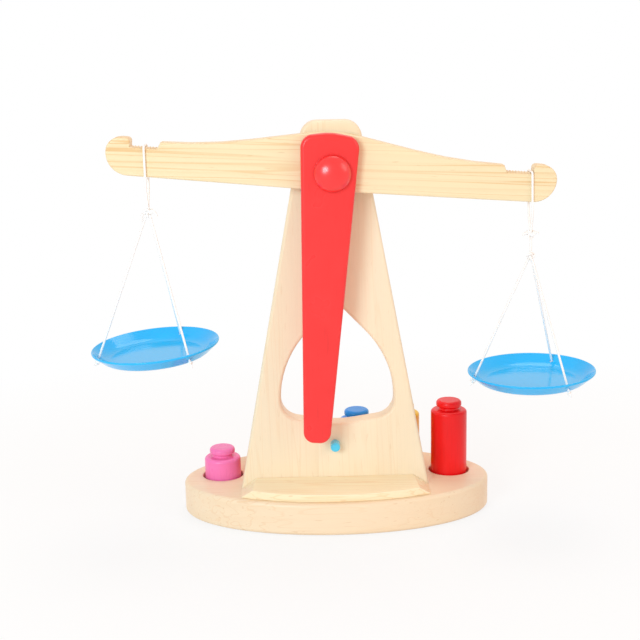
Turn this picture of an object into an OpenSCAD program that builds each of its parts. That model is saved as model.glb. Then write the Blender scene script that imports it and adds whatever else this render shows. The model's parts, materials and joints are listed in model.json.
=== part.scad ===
// Wooden balance scale toy: an oval base with a row of turned weights, a tapered upright with
// a window, and a bow-shaped beam that carries a pan on cords at each end.
// X runs to the viewer's right, Y to the back and Z up. The origin is the centre of the base's underside.

/* [Base] */
// Width of the oval base
base_w = 250; // [230:2:320]
// Depth of the oval base
base_d = 136; // [126:2:180]
// Thickness of the base board
base_t = 26; // [18:1:36]
// Rounding of the base's edges
base_round = 3; // [1:0.5:6]

/* [Upright] */
// Height of the upright above the base
upright_h = 292; // [280:2:330]
// Thickness of the upright board
upright_t = 17; // [14:1:22]
// Distance of the upright's front face ahead of the base's centre
upright_forward = 28; // [22:1:32]
// Width of the upright at its foot
upright_foot_w = 151; // [130:1:160]
// Distance of the foot's middle to the left of the upright's centre line
upright_foot_left = 1.5; // [0:0.25:2.5]
// Width of the upright's top before its corners are rounded
upright_top_w = 43; // [36:1:52]
// Rounding of the upright's top corners
upright_round = 13; // [6:1:18]
// Width of the egg-shaped window
window_w = 90; // [70:1:96]
// Height of the window
window_h = 100; // [86:1:112]
// Height of the window's sill above the base
window_sill = 52; // [46:1:64]
// Distance of the window's middle to the right of the upright's centre line
window_right = 1.5; // [0:0.25:2.5]

/* [Front batten] */
// Height of the batten above the base where it meets the upright
batten_h = 9; // [7:0.5:12]
// Height of the batten's front
batten_front_h = 6; // [3:0.5:6.5]
// Distance from the base's edge to the batten's bowed front
batten_margin = 5; // [4:0.5:14]
// How far the batten's ends lean in from bottom to top
batten_lean = 12.5; // [4:0.5:20]

/* [Screws] */
// Diameter of the screws that hold the upright
screw_d = 4; // [3:0.5:5]
// Diameter of the screw heads
screw_head_d = 8; // [7:0.5:10]
// Length of the screws
screw_l = 46; // [40:1:60]
// Distance between the two screws
screw_row_w = 90; // [50:2:110]
// How deep the screw heads sit above the underside
screw_sink = 1.5; // [0.5:0.5:4]

/* [Index peg] */
// Diameter of the index peg
index_d = 7.5; // [5:0.5:10]
// How far the index peg stands out of the upright
index_out = 10; // [6:0.5:14]
// How deep the index peg sits in the upright
index_in = 10; // [6:0.5:13]
// Height of the index peg's axis above the base
index_h = 36; // [26:1:38]
// Distance of the index peg's axis to the left of the upright's centre line
index_left = 1; // [0:0.25:2]

/* [Pivot] */
// Height of the pivot above the base
pivot_h = 255; // [246:1:262]
// Diameter of the pivot peg's shank
shank_d = 10; // [8:0.5:12]
// How deep the shank sits in the upright
shank_in = 12; // [8:0.5:13]
// Diameter of the domed knob
knob_d = 28; // [22:1:34]
// Height of the domed knob
knob_h = 9.5; // [6:0.5:14]
// Height of the straight rim at the knob's foot
knob_rim = 1.5; // [0.5:0.5:4]
// Diameter of the spacer washer
washer_d = 26; // [20:1:30]
// Thickness of the spacer washer
washer_t = 2.5; // [1.5:0.5:5]

/* [Beam] */
// Length of the beam from tip to tip
beam_l = 338; // [330:2:390]
// Thickness of the beam
beam_t = 15; // [12:1:20]
// Tilt of the beam at rest, right end down
beam_tilt = 5; // [-6:0.5:6]
// Depth of the beam below the pivot at its middle
beam_belly = 14.5; // [13.5:0.5:20]
// Depth of the beam below the pivot at its ends
beam_end_low = 12.5; // [11:0.5:13.5]
// Height above the pivot at which the bow's two slopes would meet
beam_peak = 31; // [28:0.5:36]
// Height of the beam above the pivot beside the notches
beam_shoulder = 13.5; // [12:0.5:15]
// Distance from the pivot at which the bow's slope eases into the level end
beam_ease_x = 95; // [80:1:105]
// Radius of that easing
beam_ease_r = 400; // [200:20:440]
// Radius of the bow's crest
beam_crest_r = 120; // [60:5:160]
// Height of the nose at the beam's tip above the pivot
nose_h = 15.5; // [15:0.5:18]
// Rounding of the nose's upper corner
nose_top_r = 11; // [8:0.5:11.5]
// Rounding of the nose's lower corner
nose_low_r = 17; // [8:0.5:17]
// Rounding of the nose's corner over the notch
nose_inner_r = 3; // [0.5:0.5:4]
// Length of the nose from the tip to the notch
nose_l = 18; // [16:0.5:22]
// Length of the notch
notch_l = 20.5; // [15:0.5:24]
// Depth of the notch below the beam's shoulder
notch_depth = 4.5; // [3:0.25:6]
// Length of the ramp that leads into the notch
notch_ramp = 2; // [0.5:0.25:4]
// Length of the flat between the nose and the first tooth
notch_flat_l = 0.4; // [0.3:0.1:1]
// Number of teeth in each notch
teeth = 9; // [6:1:9]
// Depth of the teeth
tooth_depth = 1; // [0.5:0.25:1.25]

/* [Pointer] */
// Height of the pointer's top corners above the pivot
pointer_up = 26.5; // [24:0.5:34]
// Rise of the pointer's crowned top between its corners
pointer_crown = 3.5; // [1:0.5:5]
// Radius of that crown
pointer_crown_r = 45; // [20:5:60]
// Length of the pointer below the pivot
pointer_down = 210; // [190:1:212]
// Thickness of the pointer
pointer_t = 10; // [7:0.5:14]
// Width of the pointer at its top
pointer_top_w = 44.5; // [36:0.5:50]
// Width of the pointer at its tip
pointer_tip_w = 20.5; // [18:0.5:26]
// Rounding of the pointer's top corners
pointer_top_r = 10; // [4:0.5:16]
// Rounding of the pointer's tip corners
pointer_tip_r = 8.5; // [3:0.5:9]
// Distance of the pointer's centre line to the left of the pivot
pointer_left = 2.5; // [0:0.25:3]
// Angle by which the pointer is out of square to the beam
pointer_skew = 1.4; // [-2:0.1:2]
// Diameter of the pins that fix the pointer to the beam
pin_d = 5; // [3:0.5:6]
// Distance between the two pins
pin_row_w = 25; // [22:0.5:28]
// Depth of the pins in the pointer
pin_in_pointer = 6; // [4:0.5:6.5]
// Depth of the pins in the beam
pin_in_beam = 8; // [5:0.5:11]

/* [Cords] */
// Thickness of the cords
cord_d = 1.8; // [1.2:0.1:2.4]
// Tooth gap that holds the left loop, counted from the nose
left_tooth = 4; // [0:1:5]
// Tooth gap that holds the right loop, counted from the nose
right_tooth = 0; // [0:1:5]
// Length over which a loop's strands run straight beside the beam
loop_straight = 31; // [29:0.5:36]
// Length from the left loop's top to the middle of its gather knot
left_gather_drop = 50; // [46:0.5:60]
// Length from the right loop's top to the middle of the knot that closes it
right_knot_drop = 48; // [46:0.5:52]
// Length from the right loop's top to the middle of its gather knot
right_gather_drop = 65; // [62:0.5:74]
// Diameter of the gather knots and the loop knot
knot_d = 8; // [6:0.25:9]
// Diameter of the stopper knots under the pans
stopper_d = 5; // [4:0.25:6.5]
// Lean of the right loop and its pan at rest, outward from the upright
right_lean = 1.25; // [0:0.25:2]

/* [Pans] */
// Diameter of a pan at its rim
pan_d = 99; // [96:1:106]
// Depth of a pan outside
pan_depth = 11; // [9:0.5:14]
// Height of a pan's wall, measured upright through it
pan_wall = 2; // [1.4:0.1:2.4]
// Diameter at which a pan's floor and side would meet without their rounding
pan_floor_d = 78; // [70:1:80]
// Rounding between a pan's floor and its side
pan_floor_r = 12; // [4:0.5:12]
// Rounding of a pan's rim
pan_rim_r = 0.6; // [0.2:0.1:0.7]
// Distance of the cord holes' stopper knots from the rim
pan_hole_inset = 4; // [3.75:0.25:5]
// Diameter of the cord holes
pan_hole_d = 3; // [2.6:0.1:4]
// Length from the left loop's top to the middle of the left pan's rim
left_pan_drop = 152; // [142:1:160]
// Length from the right loop's top to the middle of the right pan's rim
right_pan_drop = 154; // [144:1:160]
// Tilt of the left pan at rest, right side down
left_pan_tilt = -4; // [-8:0.5:8]
// Tilt of the right pan at rest, right side down
right_pan_tilt = -1; // [-8:0.5:8]
// Pitch of the left pan at rest, front side down
left_pan_pitch = 2; // [-4:0.5:4]
// Pitch of the right pan at rest, front side down
right_pan_pitch = 0.5; // [-4:0.5:4]
// Turn of the left pan's first cord hole round the pan
left_pan_turn = 190; // [160:1:220]
// Turn of the right pan's first cord hole round the pan
right_pan_turn = 178; // [160:1:220]

/* [Weights] */
// Diameter of the weights
weight_d = 29.6; // [24:0.2:32]
// Height of the smallest weight's shoulder above the base
weight_least_h = 16; // [10:0.5:20]
// How much taller each weight is than the last
weight_step = 7.2; // [4:0.2:8]
// Diameter of the grip on a weight
grip_d = 20.8; // [18:0.2:24]
// Height of the grip
grip_h = 5.6; // [4:0.2:8]
// Diameter of the neck under the grip
neck_d = 16; // [12:0.5:17]
// Height of the neck
neck_h = 2.4; // [1.6:0.2:4]
// Rounding of the weights' edges
weight_round = 2; // [0.5:0.25:2.5]
// Depth of the sockets
socket_depth = 8; // [5:0.5:12]
// Distance from the base's ends to the end weights' axes
row_inset = 31; // [26:1:36]
// Distance from the base's back edge to the arc of the row at its middle
row_back_inset = 32; // [28:1:34]
// How far the row bows back at its middle
row_bow = 28; // [16:1:32]

/* [Clearances] */
// Clearance between a weight and its socket, on the radius
socket_gap = 1.8; // [0.5:0.1:2]
// Clearance between faces that slide past each other
face_gap = 0.3; // [0.2:0.05:0.6]
// Clearance between the shank and the pieces that turn on it, on the radius
run_gap = 0.06; // [0.03:0.01:0.1]
// Clearance between a loop and the beam
loop_gap = 0.4; // [0.3:0.05:0.8]
// Clearance round the screws in the base, on the radius
screw_gap = 0.2; // [0.1:0.05:0.5]

/* [Hidden] */
$fn = 64;

// How far a cut runs past the face that it cuts
overrun = 1;
// Turn of one facet on a rounded corner, and the number of facets round the base
arc_step = 6;
oval_sides = 72;

// Colours
wood = "burlywood";
red = "crimson";
sky = "deepskyblue";
cotton = "white";
weight_colors = ["hotpink", "orange", "mediumseagreen", "royalblue", "gold", "red"];
weights = len(weight_colors);

// Faces of the layers from back to front
upright_front = -upright_forward;
beam_back = upright_front - washer_t - face_gap;
beam_front = beam_back - beam_t;
pointer_front = beam_front - pointer_t;
knob_back = pointer_front - face_gap;
hang_y = beam_front + beam_t / 2;
batten_front = batten_margin - base_d / 2;

// Places in the stand
pivot = [0, 0, base_t + pivot_h];
index_place = [-index_left, 0, base_t + index_h];
sill_z = base_t + window_sill;
run_d = shank_d + 2 * run_gap;
screw_y = upright_front + upright_t / 2;
screw_head_h = (screw_head_d - screw_d) / 2;

// Shares of the window's size that shape its egg outline
apex_r_share = 0.09;
shoulder_z_share = 0.53;
shoulder_r_share = 1.6;
sill_z_share = 0.07;
sill_r_share = 0.35;
sill_bow_r_share = 1;

// The row of weights along its arc
row_half = base_w / 2 - row_inset;
row_radius = (row_half * row_half + row_bow * row_bow) / (2 * row_bow);
row_mid_y = base_d / 2 - row_back_inset;
socket_d = weight_d + 2 * socket_gap;
socket_z = base_t - socket_depth;

// The beam's notches and the loops that hang in them
beam_half = beam_l / 2;
notch_out = beam_half - nose_l;
notch_in = notch_out - notch_l;
notch_floor = beam_shoulder - notch_depth;
tooth_pitch = (notch_l - notch_flat_l) / teeth;
teeth_out = notch_out - notch_flat_l;
tooth_slope = atan2(tooth_pitch / 2, tooth_depth);
seat_v = notch_floor - tooth_depth + (cord_d / 2 + loop_gap) / sin(tooth_slope);
left_seat = tilted([-teeth_out + tooth_pitch * left_tooth + tooth_pitch / 2, seat_v]);
right_seat = tilted([teeth_out - tooth_pitch * right_tooth - tooth_pitch / 2, seat_v]);
left_hang = [left_seat[0], hang_y, pivot[2] + left_seat[1]];
right_hang = [right_seat[0], hang_y, pivot[2] + right_seat[1]];
loop_side = beam_t / 2 + loop_gap + cord_d / 2;
loop_bend_r = cord_d;
loop_end_share = 0.6;
loop_end_y = cord_d * loop_end_share;
tube_sides = 8;

// Knots, and where the pans hang
right_way = [sin(right_lean), 0, -cos(right_lean)];
left_gather = left_hang - [0, 0, left_gather_drop];
right_knot = right_hang + right_knot_drop * right_way;
right_gather = right_hang + right_gather_drop * right_way;
left_rim = left_hang - [0, 0, left_pan_drop];
right_rim = right_hang + right_pan_drop * right_way;
cord_ring_r = cord_d;
cord_ring_z = -knot_d / 4;
cord_turns = [0, 240, 120];

// How each pan lies at rest: pitch, tilt and turn
left_pose = [left_pan_pitch, left_pan_tilt, left_pan_turn];
right_pose = [right_pan_pitch, right_pan_tilt, right_pan_turn];

// The pan's side, and the stopper knots that bear on its underside
pan_r = pan_d / 2;
pan_rise = pan_depth - pan_wall;
pan_run = (pan_d - pan_floor_d) / 2;
pan_slope = atan2(pan_rise, pan_run);
stopper_r = pan_r - pan_hole_inset;
stopper_seat = stopper_d / 2 / cos(pan_slope);
stopper_z = (stopper_r - pan_floor_d / 2) * tan(pan_slope) - stopper_seat - pan_depth;

// A point of the beam's face, given along and across it, turned to its tilt at rest
function tilted(p) =
    [p[0] * cos(beam_tilt) + p[1] * sin(beam_tilt), p[1] * cos(beam_tilt) - p[0] * sin(beam_tilt)];

// Outlines: corners are [x, y, radius], listed counterclockwise, and each is rounded by an arc
function unit(v) = v / norm(v);
function flat(p) = [p[0], p[1]];
function around(list, i) = list[(i + len(list)) % len(list)];
function toward(c, i, step) = unit(flat(around(c, i + step)) - flat(c[i]));
function half_angle(c, i) = acos(toward(c, i, -1) * toward(c, i, 1)) / 2;
function reach(c, i) = c[i][2] / tan(half_angle(c, i));
function side_length(c, i) = norm(flat(around(c, i + 1)) - flat(around(c, i)));
function share_of(length, a, b) = a + b > length ? length / (a + b) : 1;
function fitted(c, t, i) = c[i][2] * min(share_of(side_length(c, i), t[i], around(t, i + 1)),
                                         share_of(side_length(c, i - 1), t[i], around(t, i - 1)));
function bend(c, i, r) =
    let (half = half_angle(c, i),
         centre = flat(c[i]) + unit(toward(c, i, -1) + toward(c, i, 1)) * r / sin(half),
         start = flat(c[i]) + toward(c, i, -1) * r / tan(half) - centre,
         from = atan2(start[1], start[0]),
         turn = -sign(cross(toward(c, i, -1), toward(c, i, 1))) * (180 - 2 * half),
         steps = ceil(abs(turn) / arc_step))
    [for (k = [0:steps]) centre + r * [cos(from + turn * k / steps), sin(from + turn * k / steps)]];
function rounded(c) =
    let (last = len(c) - 1, t = [for (i = [0:last]) reach(c, i)])
    [for (i = [0:last]) each c[i][2] == 0 ? [flat(c[i])] : bend(c, i, fitted(c, t, i))];
function mirrored(c) = [for (i = [len(c) - 1:-1:0]) [-c[i][0], c[i][1], c[i][2]]];

// A board that stands on edge, with its outline seen from the front
module board(outline, front, thickness) {
    translate([0, front + thickness, 0])
        rotate([90, 0, 0])
            linear_extrude(height = thickness)
                polygon(outline);
}

// A round bar that runs from front to back between two faces
module bar_y(d, front, back) {
    translate([0, front, 0])
        rotate([-90, 0, 0])
            cylinder(d = d, h = back - front);
}

// A round bar between two points
module strut(a, b, d) {
    run = b - a;
    translate(a)
        rotate([0, acos(run[2] / norm(run)), atan2(run[1], run[0])])
            cylinder(d = d, h = norm(run));
}

// One level of the base: the oval drawn in by an inset
function oval(inset) = [for (k = [0:oval_sides - 1])
    [(base_w / 2 - inset) * cos(360 * k / oval_sides), (base_d / 2 - inset) * sin(360 * k / oval_sides)]];

// The base's height and inset at each level of its rounded edges
function edge_levels() = [for (a = [0:45:90]) [base_round * (1 - cos(a)), base_round * (1 - sin(a))]];

module base_blank() {
    lower = [for (e = edge_levels()) [for (p = oval(e[1])) [p[0], p[1], e[0]]]];
    upper = [for (e = edge_levels()) [for (p = oval(e[1])) [p[0], p[1], base_t - e[0]]]];
    levels = concat(lower, [for (k = [len(upper) - 1:-1:0]) upper[k]]);
    bands = len(levels) - 1;
    sides = [for (b = [0:bands - 1], k = [0:oval_sides - 1])
        [for (c = [[0, 1], [0, 0], [1, 0], [1, 1]]) (b + c[0]) * oval_sides + (k + c[1]) % oval_sides]];
    floor_face = [for (k = [0:oval_sides - 1]) k];
    top_face = [for (k = [oval_sides - 1:-1:0]) bands * oval_sides + k];
    polyhedron([for (level = levels) each level], concat([floor_face, top_face], sides));
}

function row_x(i) = row_half * (2 * i / (weights - 1) - 1);
function row_y(i) = row_mid_y - row_radius + sqrt(row_radius * row_radius - row_x(i) * row_x(i));

// The screws, drawn larger by a gap where they cut their own holes in the base
module screw(gap) {
    translate([0, 0, screw_sink])
        cylinder(d1 = screw_head_d + 2 * gap, d2 = screw_d + 2 * gap, h = screw_head_h);
    translate([0, 0, screw_sink])
        cylinder(d = screw_d + 2 * gap, h = screw_l - screw_sink);
}

module at_screws() {
    for (side = [-1, 1])
        translate([side * screw_row_w / 2, screw_y, 0])
            children();
}

module base() {
    color(wood)
        difference() {
            base_blank();
            for (i = [0:weights - 1])
                translate([row_x(i), row_y(i), socket_z])
                    cylinder(d = socket_d, h = socket_depth + overrun);
            at_screws() {
                screw(screw_gap);
                translate([0, 0, -overrun])
                    cylinder(d = screw_head_d + 2 * screw_gap, h = screw_sink + overrun);
            }
        }
}

function upright_outline() =
    let (top = base_t + upright_h, half = upright_foot_w / 2)
    rounded([[-half - upright_foot_left, base_t, 0], [half - upright_foot_left, base_t, 0],
             [upright_top_w / 2, top, upright_round], [-upright_top_w / 2, top, upright_round]]);

function window_outline() =
    let (half = window_w / 2,
         side = [[half, sill_z + window_h * sill_z_share, window_w * sill_r_share],
                 [half, sill_z + window_h * shoulder_z_share, window_h * shoulder_r_share]])
    rounded(concat([[0, sill_z, window_w * sill_bow_r_share]], side,
                   [[0, sill_z + window_h, window_w * apex_r_share]], mirrored(side)));

module upright() {
    color(wood)
        difference() {
            board(upright_outline(), upright_front, upright_t);
            translate([window_right, 0, 0])
                board(window_outline(), upright_front - overrun, upright_t + 2 * overrun);
            translate(index_place)
                bar_y(index_d, upright_front - overrun, upright_front + index_in);
            translate(pivot)
                bar_y(shank_d, upright_front - overrun, upright_front + shank_in);
            at_screws()
                cylinder(d = screw_d, h = screw_l);
        }
}

// The batten's ends lean in, its front follows the base's edge and its top falls to the front
module front_batten() {
    half = upright_foot_w / 2;
    depth = upright_front - batten_front;
    top = base_t + batten_h;
    color(wood)
        intersection() {
            translate([-upright_foot_left, 0, 0])
                board([[-half, base_t], [half, base_t],
                       [half - batten_lean, top], [batten_lean - half, top]], batten_front, depth);
            translate([0, 0, base_t])
                linear_extrude(height = batten_h)
                    polygon(oval(batten_margin));
            translate([-base_w / 2, upright_front, base_t])
                rotate([90, 0, 90])
                    linear_extrude(height = base_w)
                        polygon([[0, 0], [0, batten_h], [-depth, batten_front_h], [-depth, 0]]);
        }
}

module base_screws() {
    color("silver")
        at_screws()
            screw(0);
}

module index_peg() {
    color(sky)
        translate(index_place)
            bar_y(index_d, upright_front - index_out, upright_front + index_in);
}

// The domed knob's section: a straight rim under a quarter of an oval
function knob_outline() = concat([[0, 0], [knob_d / 2, 0]], [for (a = [0:arc_step:90 - arc_step])
    [knob_d / 2 * cos(a), knob_rim + (knob_h - knob_rim) * sin(a)]], [[0, knob_h]]);

module pivot_peg() {
    color(red)
        translate(pivot) {
            translate([0, knob_back, 0])
                rotate([90, 0, 0])
                    rotate_extrude()
                        polygon(knob_outline());
            bar_y(shank_d, knob_back, upright_front + shank_in);
        }
}

module spacer_washer() {
    color(wood)
        translate(pivot)
            difference() {
                bar_y(washer_d, upright_front - washer_t, upright_front);
                bar_y(shank_d, upright_front - washer_t - overrun, upright_front + overrun);
            }
}

// The teeth of a notch, from its outer wall inward
function notch_teeth() = [for (k = [0:teeth - 1]) each
    [[teeth_out - tooth_pitch * k - tooth_pitch / 2, notch_floor - tooth_depth, 0],
     [teeth_out - tooth_pitch * (k + 1), notch_floor, 0]]];

function beam_side() = concat(
    [[beam_half, -beam_end_low, nose_low_r], [beam_half, nose_h, nose_top_r],
     [notch_out, nose_h, nose_inner_r], [notch_out, notch_floor, 0], [teeth_out, notch_floor, 0]],
    notch_teeth(),
    [[notch_in - notch_ramp, beam_shoulder, 0], [beam_ease_x, beam_shoulder, beam_ease_r]]);

function beam_outline() = rounded(concat([[0, -beam_belly, beam_crest_r]], beam_side(),
                                         [[0, beam_peak, beam_crest_r]], mirrored(beam_side())));

// Places a piece on the pivot, turned with the beam or with the pointer
module on_beam() {
    translate(pivot)
        rotate([0, beam_tilt, 0])
            children();
}

module on_pointer() {
    translate(pivot)
        rotate([0, beam_tilt - pointer_skew, 0])
            children();
}

module at_pins() {
    on_pointer()
        for (side = [-1, 1])
            translate([side * pin_row_w / 2, 0, 0])
                children();
}

module beam() {
    color(wood)
        difference() {
            on_beam()
                board(beam_outline(), beam_front, beam_t);
            translate(pivot)
                bar_y(run_d, beam_front - overrun, beam_back + overrun);
            at_pins()
                bar_y(pin_d, beam_front - overrun, beam_front + pin_in_beam);
        }
}

function pointer_outline() =
    let (top = pointer_top_w / 2, tip = pointer_tip_w / 2)
    rounded([[-pointer_left - tip, -pointer_down, pointer_tip_r],
             [tip - pointer_left, -pointer_down, pointer_tip_r],
             [top - pointer_left, pointer_up, pointer_top_r],
             [-pointer_left, pointer_up + pointer_crown, pointer_crown_r],
             [-pointer_left - top, pointer_up, pointer_top_r]]);

module pointer() {
    color(red)
        difference() {
            on_pointer()
                board(pointer_outline(), pointer_front, pointer_t);
            translate(pivot)
                bar_y(run_d, pointer_front - overrun, beam_front + overrun);
            at_pins()
                bar_y(pin_d, beam_front - pin_in_pointer, beam_front + overrun);
        }
}

module pointer_dowels() {
    color(wood)
        at_pins()
            bar_y(pin_d, beam_front - pin_in_pointer, beam_front + pin_in_beam);
}

// A loop's route from its top down one side, as distances from the beam's middle plane and from its top
function loop_half(end) = concat(
    [for (a = [0:30:90]) [loop_side - loop_bend_r * (1 - sin(a)), loop_bend_r * (cos(a) - 1)]],
    [[loop_side, -loop_straight], [loop_end_y, -end]]);

function loop_route(end) =
    let (side = loop_half(end), last = len(side) - 1)
    concat([for (k = [last:-1:0]) [-side[k][0], side[k][1]]], side);

// A tube along a route that lies in the plane x = 0
function tube_ring(route, k) =
    let (last = len(route) - 1,
         run = unit(route[min(k + 1, last)] - route[max(k - 1, 0)]))
    [for (s = [0:tube_sides - 1])
        let (a = 360 * s / tube_sides, out = cord_d / 2 * sin(a))
        [cord_d / 2 * cos(a), route[k][0] - run[1] * out, route[k][1] + run[0] * out]];

module tube(route) {
    last = len(route) - 1;
    walls = [for (k = [0:last - 1], s = [0:tube_sides - 1])
        [for (c = [[0, 0], [0, 1], [1, 1], [1, 0]]) (k + c[0]) * tube_sides + (s + c[1]) % tube_sides]];
    start = [for (s = [tube_sides - 1:-1:0]) s];
    end = [for (s = [0:tube_sides - 1]) last * tube_sides + s];
    polyhedron([for (k = [0:last]) each tube_ring(route, k)], concat([start, end], walls));
}

module left_loop() {
    color(cotton)
        translate(left_hang)
            tube(loop_route(left_gather_drop - knot_d / 2 - face_gap));
}

module right_loop() {
    color(cotton)
        translate(right_hang)
            rotate([0, -right_lean, 0])
                tube(loop_route(right_knot_drop - knot_d / 4));
}

module left_gather_knot() {
    color(cotton)
        translate(left_gather)
            sphere(d = knot_d);
}

module right_loop_knot() {
    color(cotton)
        translate(right_knot)
            sphere(d = knot_d);
}

module right_link() {
    above_gather = (knot_d / 2 + face_gap) * right_way;
    color(cotton)
        strut(right_gather - above_gather, right_knot + knot_d / 4 * right_way, cord_d);
}

module right_gather_knot() {
    color(cotton)
        translate(right_gather)
            sphere(d = knot_d);
}

// Where a cord leaves its gather knot, and where its stopper knot sits under the pan
function ring_point(r, turn) = r * [cos(turn), sin(turn), 0];
function cord_top(gather, pose, k) =
    gather + ring_point(cord_ring_r, pose[2] + cord_turns[k]) + [0, 0, cord_ring_z];
function pitched(p, a) = [p[0], p[1] * cos(a) - p[2] * sin(a), p[1] * sin(a) + p[2] * cos(a)];
function leaning(p, a) = [p[0] * cos(a) + p[2] * sin(a), p[1], p[2] * cos(a) - p[0] * sin(a)];
function cord_foot(rim, pose, k) =
    let (stopper = ring_point(stopper_r, pose[2] + cord_turns[k]) + [0, 0, stopper_z])
    rim + leaning(pitched(stopper, pose[0]), pose[1]);

module cord(gather, rim, pose, k, d) {
    strut(cord_foot(rim, pose, k), cord_top(gather, pose, k), d);
}

module left_cord(k) {
    color(cotton)
        cord(left_gather, left_rim, left_pose, k, cord_d);
}

module right_cord(k) {
    color(cotton)
        cord(right_gather, right_rim, right_pose, k, cord_d);
}

// The pan's section, from the middle of its underside out to the rim and back along its inside
function pan_section() = rounded([
    [0, 0, 0], [pan_floor_d / 2, 0, pan_floor_r], [pan_r, pan_rise, pan_rim_r],
    [pan_r, pan_depth, pan_rim_r], [pan_floor_d / 2, pan_wall, pan_floor_r], [0, pan_wall, 0]]);

module pan(gather, rim, pose) {
    color(sky)
        difference() {
            translate(rim)
                rotate([pose[0], pose[1], 0])
                    translate([0, 0, -pan_depth])
                        rotate_extrude()
                            polygon(pan_section());
            for (k = [0:len(cord_turns) - 1])
                cord(gather, rim, pose, k, pan_hole_d);
        }
}

module left_pan() {
    pan(left_gather, left_rim, left_pose);
}

module right_pan() {
    pan(right_gather, right_rim, right_pose);
}

module stoppers(rim, pose) {
    color(cotton)
        for (k = [0:len(cord_turns) - 1])
            translate(cord_foot(rim, pose, k))
                sphere(d = stopper_d);
}

module left_pan_knots() {
    stoppers(left_rim, left_pose);
}

module right_pan_knots() {
    stoppers(right_rim, right_pose);
}

// A turned weight's section, from the middle of its foot to the top of its grip
function weight_section(shoulder) =
    let (body = weight_d / 2, neck = neck_d / 2, grip = grip_d / 2, top = shoulder + neck_h + grip_h)
    rounded([[0, 0, 0], [body, 0, weight_round], [body, shoulder, weight_round], [neck, shoulder, 0],
             [neck, shoulder + neck_h, 0], [grip, shoulder + neck_h, weight_round],
             [grip, top, weight_round], [0, top, 0]]);

module weight(i) {
    foot_z = socket_z + face_gap;
    color(weight_colors[i])
        translate([row_x(i), row_y(i), foot_z])
            rotate_extrude()
                polygon(weight_section(base_t + weight_least_h + weight_step * i - foot_z));
}

base();
upright();
front_batten();
base_screws();
index_peg();
pivot_peg();
spacer_washer();
beam();
pointer();
pointer_dowels();
left_loop();
left_gather_knot();
left_cord(0);  // left_cord_side
left_cord(2);  // left_cord_front
left_cord(1);  // left_cord_back
left_pan();
left_pan_knots();
right_loop();
right_loop_knot();
right_link();
right_gather_knot();
right_cord(0);  // right_cord_side
right_cord(2);  // right_cord_front
right_cord(1);  // right_cord_back
right_pan();
right_pan_knots();
weight(0);  // weight_pink
weight(1);  // weight_orange
weight(2);  // weight_green
weight(3);  // weight_blue
weight(4);  // weight_yellow
weight(5);  // weight_red
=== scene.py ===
"""Dresses the wooden balance scale toy: boards with rounded edges and grain, lacquered and painted
pieces, moulded pans and twisted cotton cords, each on the body that carries it."""

import json
import math

import bmesh
import bpy
from mathutils import Matrix, Vector

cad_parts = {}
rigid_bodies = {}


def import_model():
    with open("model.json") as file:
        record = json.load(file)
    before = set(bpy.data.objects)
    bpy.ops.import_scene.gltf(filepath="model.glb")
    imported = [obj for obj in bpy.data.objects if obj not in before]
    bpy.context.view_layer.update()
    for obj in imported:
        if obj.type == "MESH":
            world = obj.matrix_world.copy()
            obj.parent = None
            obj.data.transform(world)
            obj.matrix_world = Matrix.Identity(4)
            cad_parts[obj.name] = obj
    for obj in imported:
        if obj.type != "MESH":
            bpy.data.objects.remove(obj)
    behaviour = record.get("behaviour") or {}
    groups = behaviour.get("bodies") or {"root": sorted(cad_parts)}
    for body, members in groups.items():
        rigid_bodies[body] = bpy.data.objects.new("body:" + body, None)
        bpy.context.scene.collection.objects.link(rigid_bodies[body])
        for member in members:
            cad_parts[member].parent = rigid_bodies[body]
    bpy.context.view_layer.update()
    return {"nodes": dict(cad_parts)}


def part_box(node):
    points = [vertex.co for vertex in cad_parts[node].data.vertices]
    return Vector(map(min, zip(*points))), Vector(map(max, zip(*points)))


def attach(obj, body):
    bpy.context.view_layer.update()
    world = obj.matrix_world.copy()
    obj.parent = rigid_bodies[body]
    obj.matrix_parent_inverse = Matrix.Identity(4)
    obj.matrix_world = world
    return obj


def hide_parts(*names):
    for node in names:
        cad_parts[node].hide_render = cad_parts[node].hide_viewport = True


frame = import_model()

bl_info = {
    "name": "Balance scale toy",
    "version": (1, 0, 0),
    "blender": (4, 5, 0),
    "location": "View3D > Sidebar > Balance scale",
    "description": "Makes the pieces of a wooden balance scale over its packed solids",
    "category": "Object",
}

# Places and outlines of the solids, in millimetres. X runs to the right, Y to the back, Z up.
# Outline corners are (across, up, radius), counterclockwise.
MM = 0.001
PIVOT = (0.0, 0.0, 281.0)
BORE_R = 5.06

# Base, its sockets and its screws. A cut runs past the surface that it opens.
BASE_TOP = 26.0
SOCKET_R, SOCKET_Z = 16.6, 18.0
SCREW_X, SCREW_Y = 45.0, -19.5
SCREW_SHANK, SCREW_SHORT = 4.0, 0.4
SINK_R, SINK_H, SINK_NECK_R, SINK_TOP = 4.2, 1.5, 2.2, 3.5
CUT_OVER = 1.0

# Screws, as shares of their head, shank and length
RECESS_WIDE_SHARE, RECESS_THIN_SHARE, RECESS_DEEP_SHARE = 0.58, 0.13, 1.3
CORE_SHARE, RIDGE_SHARE, PITCH_SHARE = 0.78, 0.22, 0.45
THREAD_SHARE, THREAD_START_SHARE = 0.85, 0.12

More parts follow.
